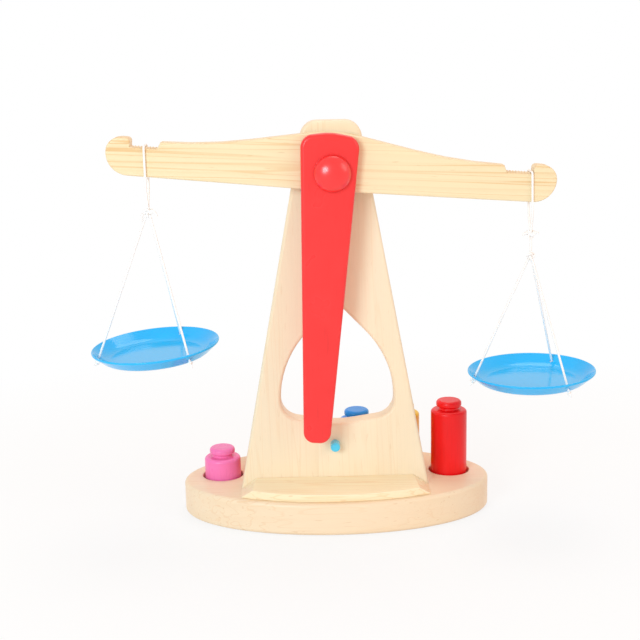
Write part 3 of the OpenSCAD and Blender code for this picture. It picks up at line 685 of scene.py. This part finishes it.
class NodeRule(NodeTree):
    """A Geometry Nodes tree with named inputs, which turns a piece into a plain mesh."""

    def __init__(self, name, inputs):
        super().__init__(bpy.data.node_groups.new(name, "GeometryNodeTree"))
        self.tree.interface.new_socket("Geometry", in_out="INPUT", socket_type="NodeSocketGeometry")
        self.ids = {}
        for label, kind in inputs:
            socket = self.tree.interface.new_socket(label, in_out="INPUT", socket_type=kind)
            self.ids[label] = socket.identifier
        self.tree.interface.new_socket("Geometry", in_out="OUTPUT", socket_type="NodeSocketGeometry")
        self.given = self.tree.nodes.new("NodeGroupInput").outputs

    def joined(self, parts):
        """Several forms as one."""
        whole = self.node("GeometryNodeJoinGeometry")
        for part in parts:
            self.set(whole.inputs["Geometry"], part)
        return whole.outputs["Geometry"]

    def lifted(self, geometry, height):
        """A form, lifted."""
        lift = self.node("ShaderNodeCombineXYZ", {"Z": height}).outputs["Vector"]
        made = self.node("GeometryNodeTransform", {"Geometry": geometry, "Translation": lift})
        return made.outputs["Geometry"]

    def end(self, geometry, material):
        """Ends the tree in real geometry with its material."""
        whole = self.node("GeometryNodeRealizeInstances", {"Geometry": geometry}).outputs["Geometry"]
        coloured = self.node("GeometryNodeSetMaterial", {"Geometry": whole, "Material": material})
        self.node("NodeGroupOutput", {"Geometry": coloured.outputs["Geometry"]})

    def apply(self, piece, values):
        """Runs the tree on a piece and returns its result as a plain mesh piece of the same name."""
        rule = piece.modifiers.new("Rule", "NODES")
        rule.node_group = self.tree
        for label, value in values.items():
            rule[self.ids[label]] = value
        name = piece.name
        depsgraph = bpy.context.evaluated_depsgraph_get()
        mesh = bpy.data.meshes.new_from_object(piece.evaluated_get(depsgraph), depsgraph=depsgraph)
        bpy.data.objects.remove(piece)
        made = bpy.data.objects.new(name, mesh)
        bpy.context.scene.collection.objects.link(made)
        return made


def twist_rule():
    """Strands twisted along a path."""
    rule = NodeRule("Twisted cotton", [("Diameter", "NodeSocketFloat"), ("Plies", "NodeSocketInt"),
                                       ("Turn", "NodeSocketFloat"), ("Groove", "NodeSocketFloat"),
                                       ("Material", "NodeSocketMaterial")])
    given = rule.given
    step = rule.math("DIVIDE", given["Turn"], TWIST_STEPS)
    path = rule.node("GeometryNodeResampleCurve", {"Curve": given["Geometry"], "Length": step}, mode="LENGTH")
    run = rule.node("GeometryNodeSplineParameter").outputs["Length"]
    turn = rule.math("MULTIPLY", rule.math("DIVIDE", run, given["Turn"]), 2 * math.pi)
    laid = rule.node("GeometryNodeSetCurveTilt", {"Curve": path.outputs["Curve"], "Tilt": turn})
    sides = rule.math("MULTIPLY", given["Plies"], PLY_SIDES)
    radius = rule.math("DIVIDE", given["Diameter"], 2.0)
    round_cord = rule.node("GeometryNodeCurvePrimitiveCircle", {"Resolution": sides, "Radius": radius},
                           mode="RADIUS")
    round_share = rule.node("GeometryNodeSplineParameter").outputs["Factor"]
    ply = rule.math("MULTIPLY", rule.math("MULTIPLY", round_share, given["Plies"]), math.pi)
    wave = rule.math("ABSOLUTE", rule.math("COSINE", ply))
    inset = rule.math("MULTIPLY", given["Groove"], rule.math("SUBTRACT", 1.0, wave))
    place = rule.node("GeometryNodeInputPosition").outputs["Position"]
    drawn_in = rule.node("ShaderNodeVectorMath", {0: place, "Scale": rule.math("SUBTRACT", 1.0, inset)},
                         operation="SCALE")
    section = rule.node("GeometryNodeSetPosition", {"Geometry": round_cord.outputs["Curve"],
                                                    "Position": drawn_in.outputs["Vector"]})
    tube = rule.node("GeometryNodeCurveToMesh", {"Curve": laid.outputs["Curve"], "Fill Caps": True,
                                                 "Profile Curve": section.outputs["Geometry"]})
    smooth = rule.node("GeometryNodeSetShadeSmooth", {"Geometry": tube.outputs["Mesh"]})
    rule.end(smooth.outputs["Geometry"], given["Material"])
    return rule


def screw_rule():
    """Countersunk screws in a row, each with a cross recess and a thread."""
    rule = NodeRule("Countersunk screws", [("Spacing", "NodeSocketFloat"), ("Head", "NodeSocketFloat"),
                                           ("Shank", "NodeSocketFloat"), ("Length", "NodeSocketFloat"),
                                           ("Corner", "NodeSocketVector"),
                                           ("Material", "NodeSocketMaterial")])
    given = rule.given
    head_r = rule.math("DIVIDE", given["Head"], 2.0)
    shank_r = rule.math("DIVIDE", given["Shank"], 2.0)
    head_h = rule.math("SUBTRACT", head_r, shank_r)
    head = rule.node("GeometryNodeMeshCone", {"Vertices": 48, "Radius Bottom": head_r, "Radius Top": shank_r,
                                              "Depth": head_h})
    wide = rule.math("MULTIPLY", given["Head"], RECESS_WIDE_SHARE)
    thin = rule.math("MULTIPLY", given["Head"], RECESS_THIN_SHARE)
    deep = rule.math("MULTIPLY", head_h, RECESS_DEEP_SHARE)
    sizes = [rule.node("ShaderNodeCombineXYZ", {"X": x, "Y": y, "Z": deep}).outputs["Vector"]
             for x, y in ((wide, thin), (thin, wide))]
    slots = rule.joined([rule.node("GeometryNodeMeshCube", {"Size": size}).outputs["Mesh"] for size in sizes])
    recessed = rule.node("GeometryNodeMeshBoolean", operation="DIFFERENCE")
    rule.set(recessed.inputs["Mesh 1"], head.outputs["Mesh"])
    rule.set(recessed.inputs["Mesh 2"], slots)
    core_r = rule.math("MULTIPLY", shank_r, CORE_SHARE)
    shank = rule.node("GeometryNodeMeshCylinder", {"Vertices": 24, "Radius": core_r,
                                                   "Depth": given["Length"]})
    raised = rule.lifted(shank.outputs["Mesh"], rule.math("DIVIDE", given["Length"], 2.0))
    pitch = rule.math("MULTIPLY", given["Shank"], PITCH_SHARE)
    thread_h = rule.math("MULTIPLY", given["Length"], THREAD_SHARE)
    helix = rule.node("GeometryNodeCurveSpiral",
                      {"Resolution": 20, "Rotations": rule.math("DIVIDE", thread_h, pitch),
                       "Start Radius": core_r, "End Radius": core_r, "Height": thread_h})
    ridge_r = rule.math("MULTIPLY", shank_r, RIDGE_SHARE)
    ridge = rule.node("GeometryNodeCurvePrimitiveCircle", {"Resolution": 4, "Radius": ridge_r}, mode="RADIUS")
    thread = rule.node("GeometryNodeCurveToMesh", {"Curve": helix.outputs["Curve"], "Fill Caps": True,
                                                   "Profile Curve": ridge.outputs["Curve"]})
    wound = rule.lifted(thread.outputs["Mesh"], rule.math("MULTIPLY", given["Length"], THREAD_START_SHARE))
    whole = rule.joined([recessed.outputs["Mesh"], raised, wound])
    step = rule.node("ShaderNodeCombineXYZ", {"X": given["Spacing"]}).outputs["Vector"]
    row = rule.node("GeometryNodeMeshLine", {"Count": 2, "Start Location": given["Corner"], "Offset": step},
                    mode="OFFSET")
    screws = rule.node("GeometryNodeInstanceOnPoints", {"Points": row.outputs["Mesh"], "Instance": whole})
    rule.end(screws.outputs["Instances"], given["Material"])
    return rule


def path_object(name, paths):
    """A curve object with one spline for each (points, closed) in millimetres."""
    line = bpy.data.curves.new(name, "CURVE")
    line.dimensions = "3D"
    for points, closed in paths:
        spline = line.splines.new("POLY")
        spline.points.add(len(points) - 1)
        for point, spot in zip(spline.points, points):
            point.co = (*(Vector(spot) * MM), 1)
        spline.use_cyclic_u = closed
    made = bpy.data.objects.new(name, line)
    bpy.context.scene.collection.objects.link(made)
    return made


def run_of(points):
    """Length of a closed path in millimetres."""
    return sum((b - a).length for a, b in zip(points, points[1:] + points[:1]))


def overhand(centre, width, cord_d, turn, steps=72):
    """A closed overhand knot round a centre, in millimetres, that fits a given width."""
    reach = (width - cord_d) / 2
    spin = Matrix.Rotation(math.radians(turn), 3, "Z")
    points = []
    for k in range(steps):
        t = 2 * math.pi * k / steps
        loop = Vector(((math.sin(t) + 2 * math.sin(2 * t)) / 3, -math.sin(3 * t) * KNOT_FLAT_SHARE,
                       (math.cos(t) - 2 * math.cos(2 * t)) / 3))
        points.append(Vector(centre) + spin @ (loop * reach))
    return points


def loose_end(knot, bend, tip, steps=10):
    """A short end of cord, in millimetres, that bends out of a knot and down to its tip."""
    a = Vector(knot)
    b, c = a + Vector(bend), a + Vector(tip)
    return [a * (1 - s) ** 2 + b * 2 * s * (1 - s) + c * s * s for s in (k / steps for k in range(steps + 1))]


# Places on the hanging sets and in the row of weights

HANGS = {"left": Vector(LEFT_HANG), "right": Vector(RIGHT_HANG)}
WAYS = {"left": Vector((0, 0, -1)),
        "right": Vector((math.sin(math.radians(RIGHT_LEAN)), 0, -math.cos(math.radians(RIGHT_LEAN))))}


def below(side, drop):
    """A point of a hanging set, given by its distance from the loop's top."""
    return HANGS[side] + WAYS[side] * drop


GATHERS = {"left": below("left", LEFT_GATHER_DROP), "right": below("right", RIGHT_GATHER_DROP)}
RIGHT_KNOT = below("right", RIGHT_KNOT_DROP)
RIMS = {side: below(side, PAN_DROPS[side]) for side in HANGS}


def ring_point(side, radius, where):
    """A point round a pan's axis at one of its three cords."""
    turn = math.radians(PAN_TURNS[side] + CORD_TURNS[where])
    return Vector((radius * math.cos(turn), radius * math.sin(turn), 0))


def pan_place(side):
    """Turns and moves a pan from its own axes to where it hangs."""
    return (at(*RIMS[side]) @ Matrix.Rotation(math.radians(PAN_TILTS[side]), 4, "Y")
            @ Matrix.Rotation(math.radians(PAN_PITCHES[side]), 4, "X"))


def cord_top(side, where):
    """Where a cord leaves its gather knot."""
    return GATHERS[side] + ring_point(side, CORD_RING_R, where) + Vector((0, 0, CORD_RING_Z))


def cord_foot(side, where):
    """Where a cord's stopper knot sits under the pan."""
    return pan_place(side) @ ((ring_point(side, STOPPER_R, where) + Vector((0, 0, STOPPER_Z))) * MM) / MM


def loop_path(side):
    """A loop's route over the beam and down both sides."""
    down = [(LOOP_SIDE, 0, LOOP_TOP_R), (LOOP_SIDE, -LOOP_STRAIGHT, LOOP_BEND_R),
            (LOOP_END, -LOOP_DROPS[side], 0)]
    up = [(-x, y, r) for x, y, r in reversed(down)]
    route = rounded(up + down, closed=False, step=10)
    return [below(side, -p[1]) + Vector((0, p[0], 0)) for p in route]


def row_y(x):
    """Depth of the row of weights at a place across the base."""
    return ROW_MID_Y - ROW_RADIUS + math.sqrt(ROW_RADIUS * ROW_RADIUS - x * x)


# Operators and panel

class SCALE_OT_stage(bpy.types.Operator):
    """Makes the floor, the studio light and the camera"""

    bl_idname = "balance_scale.stage"
    bl_label = "Stage"

    def execute(self, context):
        stage = context.scene.balance_scale.stage
        self.floor()
        self.room(context.scene, stage.room)
        for name, (size, spot, colour) in LAMPS.items():
            self.lamp(name + "_lamp", getattr(stage, name), size, spot, colour)
        self.camera(context.scene, stage)
        context.scene.view_settings.view_transform = "Standard"
        return {"FINISHED"}

    def camera(self, scene, stage):
        """Looks at the aim from its turn, rise and distance, rolled a little."""
        data = bpy.data.cameras.new("camera")
        data.sensor_fit = "HORIZONTAL"
        data.sensor_width = PICTURE_WIDTH
        data.lens = stage.lens
        data.clip_start = CLIP_START
        back = Vector((math.sin(stage.turn) * math.cos(stage.rise),
                       -math.cos(stage.turn) * math.cos(stage.rise), math.sin(stage.rise)))
        level = Vector((math.cos(stage.turn), math.sin(stage.turn), 0))
        rise = back.cross(level)
        right = level * math.cos(stage.roll) + rise * math.sin(stage.roll)
        top = rise * math.cos(stage.roll) - level * math.sin(stage.roll)
        pose = Matrix((right, top, back)).transposed().to_4x4()
        pose.translation = Vector(stage.aim) + back * stage.away
        camera = bpy.data.objects.new("camera", data)
        camera.matrix_world = pose
        scene.collection.objects.link(camera)
        scene.camera = camera

    def lamp(self, name, power, size, spot, colour):
        """A round lamp that faces the object."""
        data = bpy.data.lights.new(name, "AREA")
        data.energy = power
        data.color = colour
        data.shape = "DISK"
        data.size = size
        made = bpy.data.objects.new(name, data)
        made.location = spot
        made.rotation_euler = (Vector(LAMPS_AIM) - Vector(spot)).to_track_quat("-Z", "Y").to_euler()
        bpy.context.scene.collection.objects.link(made)

    def floor(self):
        """White paper that keeps the object's shadow near it and fades to plain white further out."""
        paper = bpy.data.materials.new("White paper")
        paper.use_nodes = True
        paper.node_tree.nodes.clear()
        nodes = NodeTree(paper.node_tree)
        matte = nodes.node("ShaderNodeBsdfDiffuse", {"Color": PAPER_COLOUR}).outputs["BSDF"]
        glow = nodes.node("ShaderNodeEmission").outputs["Emission"]
        coords = nodes.node("ShaderNodeTexCoord").outputs["Object"]
        out = nodes.node("ShaderNodeVectorMath", {0: coords}, operation="LENGTH").outputs["Value"]
        fade = nodes.spread(out, PAPER_NEAR, PAPER_FAR, PAPER_GLOW_SHARE, 1.0)
        share = nodes.math("MULTIPLY", nodes.in_sight(), fade)
        blend = nodes.node("ShaderNodeMixShader", {"Fac": share, 1: matte, 2: glow}).outputs["Shader"]
        nodes.node("ShaderNodeOutputMaterial", {"Surface": blend})

        def disc(bm):
            bmesh.ops.create_circle(bm, cap_ends=True, segments=96, radius=FLOOR_R)
            bm.transform(Matrix.Translation((0, 0, -FLOOR_DROP)))

        show("floor", mesh_of("floor", disc), paper)

    def room(self, scene, strength):
        """Even warm light, in front of a white background."""
        world = bpy.data.worlds.new("Studio")
        world.use_nodes = True
        nodes = NodeTree(world.node_tree)
        warm = world.node_tree.nodes["Background"]
        nodes.set(warm.inputs["Color"], ROOM_COLOUR)
        nodes.set(warm.inputs["Strength"], strength)
        white = nodes.node("ShaderNodeBackground", {"Color": WHITE})
        blend = nodes.node("ShaderNodeMixShader", {"Fac": nodes.in_sight(), 1: warm.outputs["Background"],
                                                   2: white.outputs["Background"]})
        nodes.set(world.node_tree.nodes["World Output"].inputs["Surface"], blend.outputs["Shader"])
        scene.world = world


class SCALE_OT_cords(bpy.types.Operator):
    """Makes the loops over the beam and the cords of both pans"""

    bl_idname = "balance_scale.cords"
    bl_label = "Cords"

    def execute(self, context):
        settings = context.scene.balance_scale
        sizes = settings.sizes
        finish = cotton("Cotton cord", settings.colours.cotton)
        rule = twist_rule()
        values = {"Diameter": sizes.cord, "Plies": sizes.plies, "Turn": sizes.cord_turn,
                  "Groove": CORD_GROOVE, "Material": finish}
        routes = {f"{side}_loop": (f"{side}_loop", loop_path(side)) for side in HANGS}
        routes["right_link"] = ("right_loop", [below("right", RIGHT_KNOT_DROP + LINK_IN_TOP),
                                               below("right", RIGHT_GATHER_DROP - LINK_IN_FOOT)])
        for side in HANGS:
            for where in CORD_TURNS:
                ends = [cord_top(side, where), cord_foot(side, where)]
                routes[f"{side}_cord_{where}"] = (f"{side}_pan", ends)
        for node, (body, points) in routes.items():
            made = rule.apply(path_object(node + "_twist", [(points, False)]), values)
            dress(made, body, "cotton", node)
        return {"FINISHED"}


class SCALE_OT_knots(bpy.types.Operator):
    """Makes the knots that gather the cords and the stopper knots under the pans"""

    bl_idname = "balance_scale.knots"
    bl_label = "Knots"

    def execute(self, context):
        settings = context.scene.balance_scale
        sizes = settings.sizes
        cord_d = sizes.cord / MM
        finish = cotton("Cotton knot", settings.colours.cotton)
        rule = twist_rule()
        places = {"left_gather_knot": (GATHERS["left"], "left_pan"),
                  "right_loop_knot": (RIGHT_KNOT, "right_loop"),
                  "right_gather_knot": (GATHERS["right"], "right_pan")}
        for node, (centre, body) in places.items():
            paths = [(overhand(centre, sizes.knot / MM, cord_d, KNOT_TURNS[node]), True)]
            paths += [(loose_end(centre, bend, tip), False) for bend, tip in KNOT_ENDS[node]]
            self.tie(rule, node, body, paths, sizes, finish)
        for side in HANGS:
            paths = []
            for n, where in enumerate(CORD_TURNS):
                foot = cord_foot(side, where)
                knot = overhand(foot, sizes.stopper / MM, cord_d * STOPPER_CORD_SHARE, STOPPER_TURN * n)
                bend = ring_point(side, STOPPER_BEND_OUT, where) - Vector((0, 0, STOPPER_BEND_DOWN))
                tip = ring_point(side, STOPPER_TIP_OUT, where) - Vector((0, 0, STOPPER_TIP_DOWN))
                paths += [(knot, True), (loose_end(foot, bend, tip), False)]
            self.tie(rule, f"{side}_pan_knots", f"{side}_pan", paths, sizes, finish, STOPPER_CORD_SHARE)
        return {"FINISHED"}

    def tie(self, rule, node, body, paths, sizes, finish, share=1.0):
        """One piece of twisted cord from all its paths, with a whole number of plies round each knot."""
        run = run_of(paths[0][0]) * MM
        turn = run * sizes.plies / max(1, round(run * sizes.plies / (sizes.cord_turn * share)))
        made = rule.apply(path_object(node + "_tied", paths),
                          {"Diameter": sizes.cord * share, "Plies": sizes.plies, "Turn": turn,
                           "Groove": CORD_GROOVE, "Material": finish})
        dress(made, body, "cotton", node)


class SCALE_OT_base(bpy.types.Operator):
    """Makes the oval base with its sockets and screw holes"""

    bl_idname = "balance_scale.base"
    bl_label = "Base"

    def execute(self, context):
        settings = context.scene.balance_scale
        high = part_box("base")[1] / MM
        edge = settings.sizes.base_edge / MM
        finish = wood("Base wood", settings.colours.base_wood, axis="X", ring_gap=0.011,
                      turn=(0.0, 0.03, 0.02), pith=(0, 0.03, 0.07), line=0.30, wander=3.5, stave=0.058)
        mesh = mesh_of("oval_base", lambda bm: self.oval(bm, high.x, high.y, high.z, edge))
        piece = show("oval_base", mesh, finish)
        cut(piece, mesh_of("sockets", lambda bm: self.sockets(bm, high.z, settings.sizes.socket_edge / MM)))
        dress(soften(piece, sharp=35.0), "stand", "pale_wood", "base")
        return {"FINISHED"}

    def oval(self, bm, half_w, half_d, height, edge, sides=160, steps=6):
        """Adds an oval board with rounded rims."""
        levels = [(edge * (1 - math.sin(a)), edge * (1 - math.cos(a))) for a in quarter(steps)]
        levels += [(inset, height - rise) for inset, rise in reversed(levels)]
        rings = [ring(bm, half_w - inset, half_d - inset, z, sides, Matrix.Identity(4))
                 for inset, z in levels]
        for lower, upper in zip(rings, rings[1:]):
            bridge(bm, lower, upper)
        bm.faces.new(rings[0][::-1])
        bm.faces.new(rings[-1])

    def sockets(self, bm, top, edge):
        """Adds what is cut from the board: a socket for each weight and a sunk hole for each screw."""
        mouth = [(SOCKET_R + edge * (1 - math.cos(a)), top - edge * (1 - math.sin(a))) for a in quarter(5)]
        profile = [(0, SOCKET_Z), (SOCKET_R, SOCKET_Z), *mouth,
                   (SOCKET_R + edge, top + CUT_OVER), (0, top + CUT_OVER)]
        for x, _ in WEIGHTS.values():
            lathe(bm, profile, sides=96, place=at(x, row_y(x), 0))
        sink = [(0, -CUT_OVER), (SINK_R, -CUT_OVER), (SINK_R, SINK_H), (SINK_NECK_R, SINK_TOP), (0, SINK_TOP)]
        for x in (-SCREW_X, SCREW_X):
            lathe(bm, sink, sides=48, place=at(x, SCREW_Y, 0))


class SCALE_OT_upright(bpy.types.Operator):
    """Makes the tapered upright with its egg-shaped window"""

    bl_idname = "balance_scale.upright"
    bl_label = "Upright"

    def execute(self, context):
        settings = context.scene.balance_scale
        finish = wood("Board wood", settings.colours.board_wood, axis="Z", ring_gap=0.013,
                      turn=(0.02, 0.03, 0.0), pith=(0.02, 0.05, 0), line=0.22, wander=4.0, stave=0.046,
                      pore=0.16)
        piece = board("upright_board", rounded(UPRIGHT), [rounded(WINDOW)[::-1]], UPRIGHT_FRONT, UPRIGHT_BACK,
                      settings.sizes.upright_edge, finish)
        dress(piece, "stand", "pale_wood", "upright")
        return {"FINISHED"}


class SCALE_OT_batten(bpy.types.Operator):
    """Makes the sloping batten along the foot of the upright"""

    bl_idname = "balance_scale.batten"
    bl_label = "Batten"

    def execute(self, context):
        settings = context.scene.balance_scale
        finish = wood("Batten wood", settings.colours.batten_wood, axis="X", ring_gap=0.010,
                      turn=(0.0, 0.02, 0.05), pith=(0, 0.075, 0.01), line=0.8, wander=4.0)
        corners = {tuple(round(c, 6) for c in v.co) for v in frame["nodes"]["front_batten"].data.vertices}
        bm = bmesh.new()
        for corner in sorted(corners):
            bm.verts.new(corner)
        bmesh.ops.convex_hull(bm, input=list(bm.verts))
        bmesh.ops.dissolve_limit(bm, angle_limit=math.radians(1), verts=bm.verts, edges=bm.edges)
        bmesh.ops.recalc_face_normals(bm, faces=bm.faces)
        bmesh.ops.bevel(bm, geom=list(bm.edges), offset=settings.sizes.batten_edge, offset_type="OFFSET",
                        segments=3, profile=0.5, affect="EDGES", clamp_overlap=True)
        mesh = bpy.data.meshes.new("hipped_batten")
        bm.to_mesh(mesh)
        bm.free()
        dress(soften(show("hipped_batten", mesh, finish)), "stand", "pale_wood", "front_batten")
        return {"FINISHED"}


class SCALE_OT_screws(bpy.types.Operator):
    """Makes the two screws that hold the upright from below"""

    bl_idname = "balance_scale.screws"
    bl_label = "Screws"

    def execute(self, context):
        low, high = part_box("base_screws")
        start = path_object("screw_row", [([(0, 0, 0), (0, 0, 1)], False)])
        made = screw_rule().apply(start, {
            "Spacing": 2 * SCREW_X * MM, "Head": high.y - low.y, "Shank": SCREW_SHANK * MM,
            "Length": high.z - low.z - SCREW_SHORT * MM,
            "Corner": (-SCREW_X * MM, SCREW_Y * MM, low.z),
            "Material": steel("Plated steel", context.scene.balance_scale.colours.steel)})
        dress(soften(made, sharp=35.0), "stand", "screw_steel", "base_screws")
        return {"FINISHED"}


class SCALE_OT_beam(bpy.types.Operator):
    """Makes the bow-shaped beam with a toothed notch at each end"""

    bl_idname = "balance_scale.beam"
    bl_label = "Beam"

    def execute(self, context):
        settings = context.scene.balance_scale
        lean = math.radians(-BEAM_TILT) + GRAIN_LEAN
        finish = wood("Beam wood", settings.colours.beam_wood, axis="X", ring_gap=0.0055,
                      turn=(0.0, lean, 0.0), pith=(0, 0.02, -0.20), line=1.0, wander=2.6)
        other = [(-x, y, r) for x, y, r in reversed(BEAM_SIDE)]
        outline = rounded([BEAM_BELLY, *BEAM_SIDE, BEAM_PEAK, *other])
        piece = board("bow_beam", outline, [circle(BORE_R)], BEAM_FRONT, BEAM_BACK, settings.sizes.beam_edge,
                      finish, on_pivot(BEAM_TILT))
        cut(piece, mesh_of("saw_cuts", self.teeth))
        soften(piece)
        dress(piece, "beam", "pale_wood", "beam")
        repaint("pointer_dowels", finish)
        return {"FINISHED"}

    def teeth(self, bm):
        """Adds a wedge for each gap between the teeth of both notches."""
        half = TOOTH_PITCH / 2 - TOOTH_LAND
        wide = half * (1 + TOOTH_OVER / TOOTH_DEPTH)
        low, high = NOTCH_FLOOR - TOOTH_DEPTH, NOTCH_FLOOR + TOOTH_OVER
        for side in (-1, 1):
            for k in range(TEETH):
                u = side * (TEETH_OUT - TOOTH_PITCH * (k + 0.5))
                wedge = [(u, low), (u + wide, high), (u - wide, high)]
                ends = [[bm.verts.new(on_pivot(BEAM_TILT) @ (Vector((x, y, z)) * MM)) for x, z in wedge]
                        for y in (BEAM_FRONT - CUT_OVER, BEAM_BACK + CUT_OVER)]
                bm.faces.new(ends[0])
                bm.faces.new(ends[1][::-1])
                bridge(bm, ends[1], ends[0])


class SCALE_OT_pointer(bpy.types.Operator):
    """Makes the red pointer in front of the beam"""

    bl_idname = "balance_scale.pointer"
    bl_label = "Pointer"

    def execute(self, context):
        settings = context.scene.balance_scale
        finish = paint("Red lacquer", settings.colours.lacquer, axis="Z", gloss=0.30, coat=0.2)
        piece = board("red_pointer", rounded(POINTER), [circle(BORE_R)], POINTER_FRONT, BEAM_FRONT,
                      settings.sizes.pointer_edge, finish, on_pivot(POINTER_TURN))
        dress(piece, "beam", "red_lacquer", "pointer")
        return {"FINISHED"}


class SCALE_OT_pivot(bpy.types.Operator):
    """Makes the domed pivot peg and the index peg, and finishes the washer"""

    bl_idname = "balance_scale.pivot"
    bl_label = "Pegs and washer"

    def execute(self, context):
        colours = context.scene.balance_scale.colours
        self.knob(colours.lacquer)
        self.index_peg(colours.peg)
        repaint("spacer_washer", wood("Washer wood", colours.beam_wood, axis="Y", ring_gap=0.006, line=0.3))
        return {"FINISHED"}

    def knob(self, colour):
        """The red dome in front of the pointer, with its shank through the beam into the upright."""
        low, high = (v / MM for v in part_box("pivot_peg"))
        knob_r, height, tip = (high.x - low.x) / 2, KNOB_BACK - low.y, KNOB_BACK - high.y
        dome = [(knob_r * math.cos(a), KNOB_RIM + (height - KNOB_RIM) * math.sin(a))
                for a in quarter(16)[:-1]]
        profile = [(0, tip), (SHANK_R - SHANK_CHAMFER, tip), (SHANK_R, tip + SHANK_CHAMFER), (SHANK_R, 0),
                   (knob_r - KNOB_EASE, 0), (knob_r - KNOB_EASE_MID, KNOB_EASE_MID), (knob_r, KNOB_EASE),
                   *dome, (0, height)]
        finish = paint("Knob lacquer", tinted(colour, KNOB_TINT), axis="Y", gloss=0.34, coat=0.9)
        piece = turned("domed_peg", profile, finish, toward_viewer(PIVOT[0], KNOB_BACK, PIVOT[2]))
        dress(piece, "stand", "red_lacquer", "pivot_peg")

    def index_peg(self, colour):
        """The small blue peg under the pointer's tip."""
        low, high = (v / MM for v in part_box("index_peg"))
        radius, length = (high.x - low.x) / 2, high.y - low.y
        profile = rounded([(0, 0, 0), (radius, 0, PEG_FOOT_ROUND), (radius, length, PEG_TIP_ROUND),
                           (0, length, 0)])
        finish = paint("Peg paint", colour, axis="Y", gloss=0.3, coat=0.4)
        piece = turned("blue_peg", profile, finish,
                       toward_viewer((low.x + high.x) / 2, high.y, (low.z + high.z) / 2), sides=64)
        dress(piece, "stand", "blue_paint", "index_peg")


class SCALE_OT_pans(bpy.types.Operator):
    """Makes the two blue pans with their cord holes"""

    bl_idname = "balance_scale.pans"
    bl_label = "Pans"

    def execute(self, context):
        finish = plastic("Pan plastic", context.scene.balance_scale.colours.pan)
        for side in HANGS:
            name = f"{side}_dish"
            place = pan_place(side) @ at(0, 0, -PAN_DEPTH)
            mesh = mesh_of(name, lambda bm: lathe(bm, rounded(PAN_SECTION, step=8), sides=128, place=place))
            piece = show(name, mesh, finish)
            cut(piece, mesh_of("cord_holes", lambda bm: self.holes(bm, side)))
            dress(soften(piece), f"{side}_pan", "pan_plastic", f"{side}_pan")
        return {"FINISHED"}

    def holes(self, bm, side):
        """Adds a drill for each cord, along the cord's run."""
        drill = [(0, CORD_HOLE_LOW), (CORD_HOLE_R, CORD_HOLE_LOW), (CORD_HOLE_R, CORD_HOLE_HIGH),
                 (0, CORD_HOLE_HIGH)]
        for where in CORD_TURNS:
            foot, top = cord_foot(side, where), cord_top(side, where)
            run = (top - foot).normalized()
            place = Matrix.Translation(foot * MM) @ run.to_track_quat("Z", "Y").to_matrix().to_4x4()
            lathe(bm, drill, sides=32, place=place)


class SCALE_OT_weights(bpy.types.Operator):
    """Makes the six turned weights"""

    bl_idname = "balance_scale.weights"
    bl_label = "Weights"

    def execute(self, context):
        settings = context.scene.balance_scale
        shoulder_r, grip_r = settings.sizes.weight_round / MM, settings.sizes.grip_round / MM
        for colour, (x, top) in WEIGHTS.items():
            height = top - WEIGHT_FOOT
            shoulder = height - HEAD_H
            grip = shoulder + NECK_H
            profile = rounded([(0, 0, 0), (WEIGHT_R, 0, WEIGHT_FOOT_ROUND), (WEIGHT_R, shoulder, shoulder_r),
                               (NECK_R, shoulder + NECK_RISE, NECK_ROUND), (NECK_TOP_R, grip, UNDERCUT_ROUND),
                               (GRIP_R, grip, grip_r), (GRIP_R, height, grip_r), (0, height + CROWN_RISE, 0)])
            finish = paint(f"{colour.capitalize()} paint", getattr(settings.colours, colour),
                           gloss=0.3, coat=0.05)
            piece = turned(f"{colour}_weight", profile, finish, at(x, row_y(x), WEIGHT_FOOT), sharp=60.0)
            dress(piece, f"weight_{colour}", f"paint_{colour}", f"weight_{colour}")
        return {"FINISHED"}


class SCALE_PT_pieces(bpy.types.Panel):
    """Lists the steps that make the balance scale"""

    bl_idname = "SCALE_PT_pieces"
    bl_label = "Balance scale"
    bl_space_type = "VIEW_3D"
    bl_region_type = "UI"
    bl_category = "Balance scale"

    def draw(self, context):
        settings = context.scene.balance_scale
        for step in STEPS:
            self.layout.operator(step.bl_idname)
        for group in (settings.sizes, settings.colours, settings.stage):
            box = self.layout.box()
            for key in group.__annotations__:
                box.prop(group, key)


STEPS = (SCALE_OT_stage, SCALE_OT_cords, SCALE_OT_knots, SCALE_OT_base, SCALE_OT_upright, SCALE_OT_batten,
         SCALE_OT_screws, SCALE_OT_beam, SCALE_OT_pointer, SCALE_OT_pivot, SCALE_OT_pans, SCALE_OT_weights)
CLASSES = (ScaleSizes, ScaleColours, ScaleStage, ScaleSettings, *STEPS, SCALE_PT_pieces)


def register():
    """Adds the classes and the scene's settings."""
    for kind in CLASSES:
        bpy.utils.register_class(kind)
    bpy.types.Scene.balance_scale = bpy.props.PointerProperty(type=ScaleSettings)


def unregister():
    """Takes the settings and the classes away."""
    del bpy.types.Scene.balance_scale
    for kind in reversed(CLASSES):
        bpy.utils.unregister_class(kind)


def main():
    """Makes all pieces in order."""
    register()
    for step in STEPS:
        getattr(bpy.ops.balance_scale, step.bl_idname.split(".")[1])()


if __name__ == "__main__":
    main()
